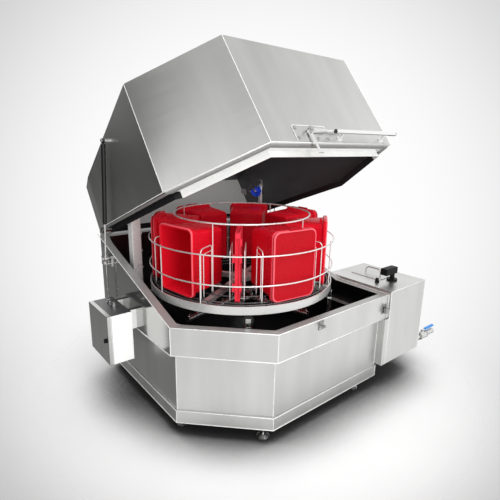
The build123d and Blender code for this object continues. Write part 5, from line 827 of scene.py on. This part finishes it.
panel_width, panel_height, panel_corner, panel_thickness = 0.78, 0.26, 0.014, 0.002
louvre_y, louvre_size, louvre_slant, louvre_round = 702, (0.17, 0.010, 0.015), 0.0085, 0.0015
panel = bmesh.new()
sheet_face = bmesh.ops.create_grid(panel, x_segments=1, y_segments=1, size=0.5)["verts"]
panel_place = Matrix.Translation(at(14, 697, 337)) @ Matrix.Rotation(-math.pi / 2, 4, "X")
bmesh.ops.transform(panel, matrix=panel_place @ Matrix.Diagonal((panel_width, panel_height, 1, 1)),
                    verts=sheet_face)
round_off(panel, sheet_face, panel_corner, 4, "VERTICES")
raised = bmesh.ops.extrude_face_region(panel, geom=list(panel.faces))["geom"]
bmesh.ops.translate(panel, vec=(0, panel_thickness, 0), verts=verts_in(raised))
for x in (-190, 218):
    for z in range(262, 413, 25):
        middle = at(x, louvre_y, z)
        place = Matrix.Translation(middle) @ Matrix.Diagonal((*louvre_size, 1))
        louvre = bmesh.ops.create_cube(panel, size=1.0, matrix=place)["verts"]
        lip = [vert for vert in louvre if vert.co.z > middle.z and vert.co.y > middle.y]
        bmesh.ops.translate(panel, vec=(0, -louvre_slant, 0), verts=lip)
        round_off(panel, edges_at(louvre), louvre_round)
bmesh.ops.recalc_face_normals(panel, faces=panel.faces)
piece_of("rear_service_panel", to_mesh(panel, "rear_service_panel"), "base", cabinet_steel)
panel_screws = [(at(x, 699, z), (0, 1, 0)) for x in (-364, -112, 140, 392) for z in (219, 455)]
hex_bolts("rear_panel_screws", panel_screws, 10, "base")


# Camera: at eye height, turned to the machine's left front corner, with the photograph's square frame.
# Its lens comes from the focal length fitted in pixels of that frame.

scene.view_settings.view_transform = "Standard"
yaw, pitch, roll = math.radians(39.1), math.radians(14.5), math.radians(1.0)
focal_pixels, frame_pixels, sensor = 411.4, 500, 36.0
forward = Vector((math.sin(yaw) * math.cos(pitch), math.cos(yaw) * math.cos(pitch), -math.sin(pitch)))
right = Vector((math.cos(yaw), -math.sin(yaw), 0))
up = right.cross(forward)
view_right = right * math.cos(roll) + up * math.sin(roll)
view_up = up * math.cos(roll) - right * math.sin(roll)
camera = put("camera", bpy.data.cameras.new("camera"))
turn = Matrix((view_right, view_up, -forward)).transposed().to_4x4()
camera.matrix_world = Matrix.Translation(at(-1588, -2041, 1603)) @ turn
camera.data.sensor_width = sensor
camera.data.lens = sensor * focal_pixels / frame_pixels
scene.camera = camera


# Backdrop: the pale studio wall that the camera sees, the walls and ceiling that polished steel mirrors,
# which are darker low down behind the machine, and an even fill light for the rest.

world = bpy.data.worlds.new("studio")
scene.world = world
world.use_nodes = True
sky = world.node_tree
sky.nodes.clear()
white = 1, 1, 1, 1
smooth = {"interpolation_type": "SMOOTHSTEP"}
toward = add(sky, "TexCoord").outputs["Generated"]
height = add(sky, "SeparateXYZ", {"Vector": toward})
left_wall = add(sky, "MapRange", {"Value": height.outputs["Z"], "From Min": 0.54, "From Max": 0.82,
                                  "To Min": 1.35, "To Max": 0.50}, **smooth)
right_wall = add(sky, "MapRange", {"Value": height.outputs["Z"], "From Min": 0.56, "From Max": 0.74,
                                   "To Min": 1.05, "To Max": 0.70}, **smooth)
low_left = add(sky, "MapRange", {"Value": height.outputs["Z"], "From Min": -0.1, "From Max": 0.35,
                                 "To Min": 0.98, "To Max": 1.35})
left_wall = add(sky, "Math", {0: left_wall.outputs["Result"], 1: low_left.outputs["Result"]},
                operation="MINIMUM")
across = add(sky, "MapRange", {"Value": height.outputs["X"], "From Min": -0.4, "From Max": 0.4})
ceiling = add(sky, "Mix", {"Factor": across.outputs["Result"], "A": left_wall.outputs["Value"],
                           "B": right_wall.outputs["Result"]})
pool = add(sky, "VectorMath", {0: toward, 1: (0.63, 0.75, -0.2)}, operation="DOT_PRODUCT")
backdrop = add(sky, "MapRange", {"Value": pool.outputs["Value"], "From Min": 0.66, "From Max": 0.96,
                                 "To Min": 0.50, "To Max": 0.99}, **smooth)
seen = add(sky, "LightPath")
mirrored = add(sky, "Math", {0: seen.outputs["Is Glossy Ray"], 1: seen.outputs["Is Transmission Ray"]},
               operation="MAXIMUM")
camera_light = add(sky, "Background", {"Color": white, "Strength": backdrop.outputs["Result"]})
behind = add(sky, "MapRange", {"Value": height.outputs["Y"], "From Min": -0.4, "From Max": 0.0},
             **smooth)
level = add(sky, "MapRange", {"Value": height.outputs["Z"], "From Min": 0.12, "From Max": -0.05},
            **smooth)
dim = add(sky, "Math", {0: behind.outputs["Result"], 1: level.outputs["Result"]}, operation="MULTIPLY")
walls = add(sky, "Mix", {"Factor": dim.outputs["Value"], "A": ceiling.outputs["Result"], "B": 0.15})
mirror_light = add(sky, "Background", {"Color": white, "Strength": walls.outputs["Result"]})
fill_light = add(sky, "Background", {"Color": white, "Strength": 0.80})
lit = add(sky, "MixShader", {0: mirrored.outputs["Value"], 1: fill_light.outputs["Background"],
                             2: mirror_light.outputs["Background"]})
both = add(sky, "MixShader", {0: seen.outputs["Is Camera Ray"], 1: lit.outputs["Shader"],
                              2: camera_light.outputs["Background"]})
add(sky, "OutputWorld", {"Surface": both.outputs["Shader"]})


# Floor: a round sheet of matt pale paint that fades into the backdrop round the machine. Close to the
# machine an occlusion node darkens the paint, as a painted shadow.

sheet = bmesh.new()
bmesh.ops.create_circle(sheet, cap_ends=True, segments=64, radius=6.0)
floor = put("floor", to_mesh(sheet, "floor"))
dust_size = 0.4
floor_paint, tree, shader, coords = new_finish("matt_floor_paint", roughness=0.9)
spread = add(tree, "VectorMath", {0: coords.outputs["Object"]}, operation="LENGTH")
fade = add(tree, "MapRange", {"Value": spread.outputs["Value"], "From Min": 1.0, "From Max": 1.8},
           **smooth)
dust = add(tree, "TexNoise", {"Vector": coords.outputs["Object"], "Scale": 1 / dust_size, "Detail": 4.0})
tone = add(tree, "Mix", {"Factor": dust.outputs["Fac"], "A": linear("#E6E6E6"), "B": linear("#EEEEEE")},
           data_type="RGBA")
occlusion_shadow = add(tree, "AmbientOcclusion", {"Distance": 0.42}, samples=12)
shade = add(tree, "MapRange", {"Value": occlusion_shadow.outputs["AO"], "From Min": 0.52, "From Max": 0.90,
                               "To Min": 0.02, "To Max": 1.0})
under = add(tree, "Mix", {"Factor": 1.0, "A": tone.outputs["Result"], "B": shade.outputs["Result"]},
            data_type="RGBA", blend_type="MULTIPLY")
tree.links.new(under.outputs["Result"], shader.inputs["Base Color"])
clear = add(tree, "BsdfTransparent")
mix = add(tree, "MixShader", {0: fade.outputs["Result"], 1: shader.outputs["BSDF"], 2: clear.outputs["BSDF"]})
tree.links.new(mix.outputs["Shader"], tree.nodes["Material Output"].inputs["Surface"])
dress(floor_paint, floor)


# Black flag: a dark sheet that lies to the machine's left and goes up like a wall, glowing faintly, least at
# 1.35 m up. The camera doesn't see it, but the steel mirrors it as painted shade on the left walls.

flag_sheet = bmesh.new()
flag_place = Matrix.Translation(at(-1050, 2100, 4)) @ Matrix.Diagonal((0.36, 2.3, 1, 1))
bmesh.ops.create_grid(flag_sheet, x_segments=1, y_segments=1, size=1.0, matrix=flag_place)
wall_x, wall_height, darkest_z = at(-1400, 0, 0).x, 3.2, 1.35
wall_edge = [edge for edge in flag_sheet.edges if all(vert.co.x < wall_x for vert in edge.verts)]
raised = bmesh.ops.extrude_edge_only(flag_sheet, edges=wall_edge)["geom"]
bmesh.ops.translate(flag_sheet, vec=(0, 0, wall_height), verts=verts_in(raised))
flag = put("black_flag", to_mesh(flag_sheet, "black_flag"))
flag_glow_finish, tree, shader, coords = new_finish("black_flag_cloth", roughness=1.0)
rise = add(tree, "SeparateXYZ", {"Vector": coords.outputs["Object"]})
off_dark = add(tree, "Math", {0: rise.outputs["Z"], 1: darkest_z}, operation="SUBTRACT")
fold = add(tree, "Math", {0: off_dark.outputs["Value"]}, operation="ABSOLUTE")
glow = add(tree, "MapRange", {"Value": fold.outputs["Value"], "From Min": 0.0, "From Max": darkest_z,
                              "To Min": 0.04, "To Max": 0.20})
flag_glow = add(tree, "Emission", {"Color": white, "Strength": glow.outputs["Result"]})
tree.links.new(flag_glow.outputs["Emission"], tree.nodes["Material Output"].inputs["Surface"])
dress(flag_glow_finish, flag)
flag.visible_camera = False
flag.visible_diffuse = False
flag.visible_shadow = False


# Lamps: three square soft boxes. The one overhead shines on the bins through the hood, which doesn't
# block it, and only the key lamp shows in the polished steel.

def lamp(name, place, aim, size, power, mirrored):
    """A square soft box turned towards a point, which polished metal may or may not mirror."""
    light = bpy.data.lights.new(name, "AREA")
    light.shape = "SQUARE"
    light.size = size
    light.energy = power
    made = put(name, light)
    turn = (aim - place).to_track_quat("-Z", "Y").to_matrix().to_4x4()
    made.matrix_world = Matrix.Translation(place) @ turn
    made.visible_glossy = mirrored
    return made


over_bins = lamp("top_softbox", at(100, -200, 4000), at(100, -100, 800), 4.6, 60, False)
hood_pieces = bpy.data.collections.new("hood_pieces")
over_bins.light_linking.blocker_collection = hood_pieces
for name in ("lid_shell", "lid_rim_frame", "lid_seal"):
    hood_pieces.objects.link(nodes[name])
for linked in hood_pieces.collection_objects:
    linked.light_linking.link_state = "EXCLUDE"
lamp("key_softbox", at(-700, -3600, 3800), at(0, 0, 900), 1.6, 60, True)
lamp("front_softbox", at(-900, -3800, 1000), at(-100, 0, 800), 1.5, 40, False)
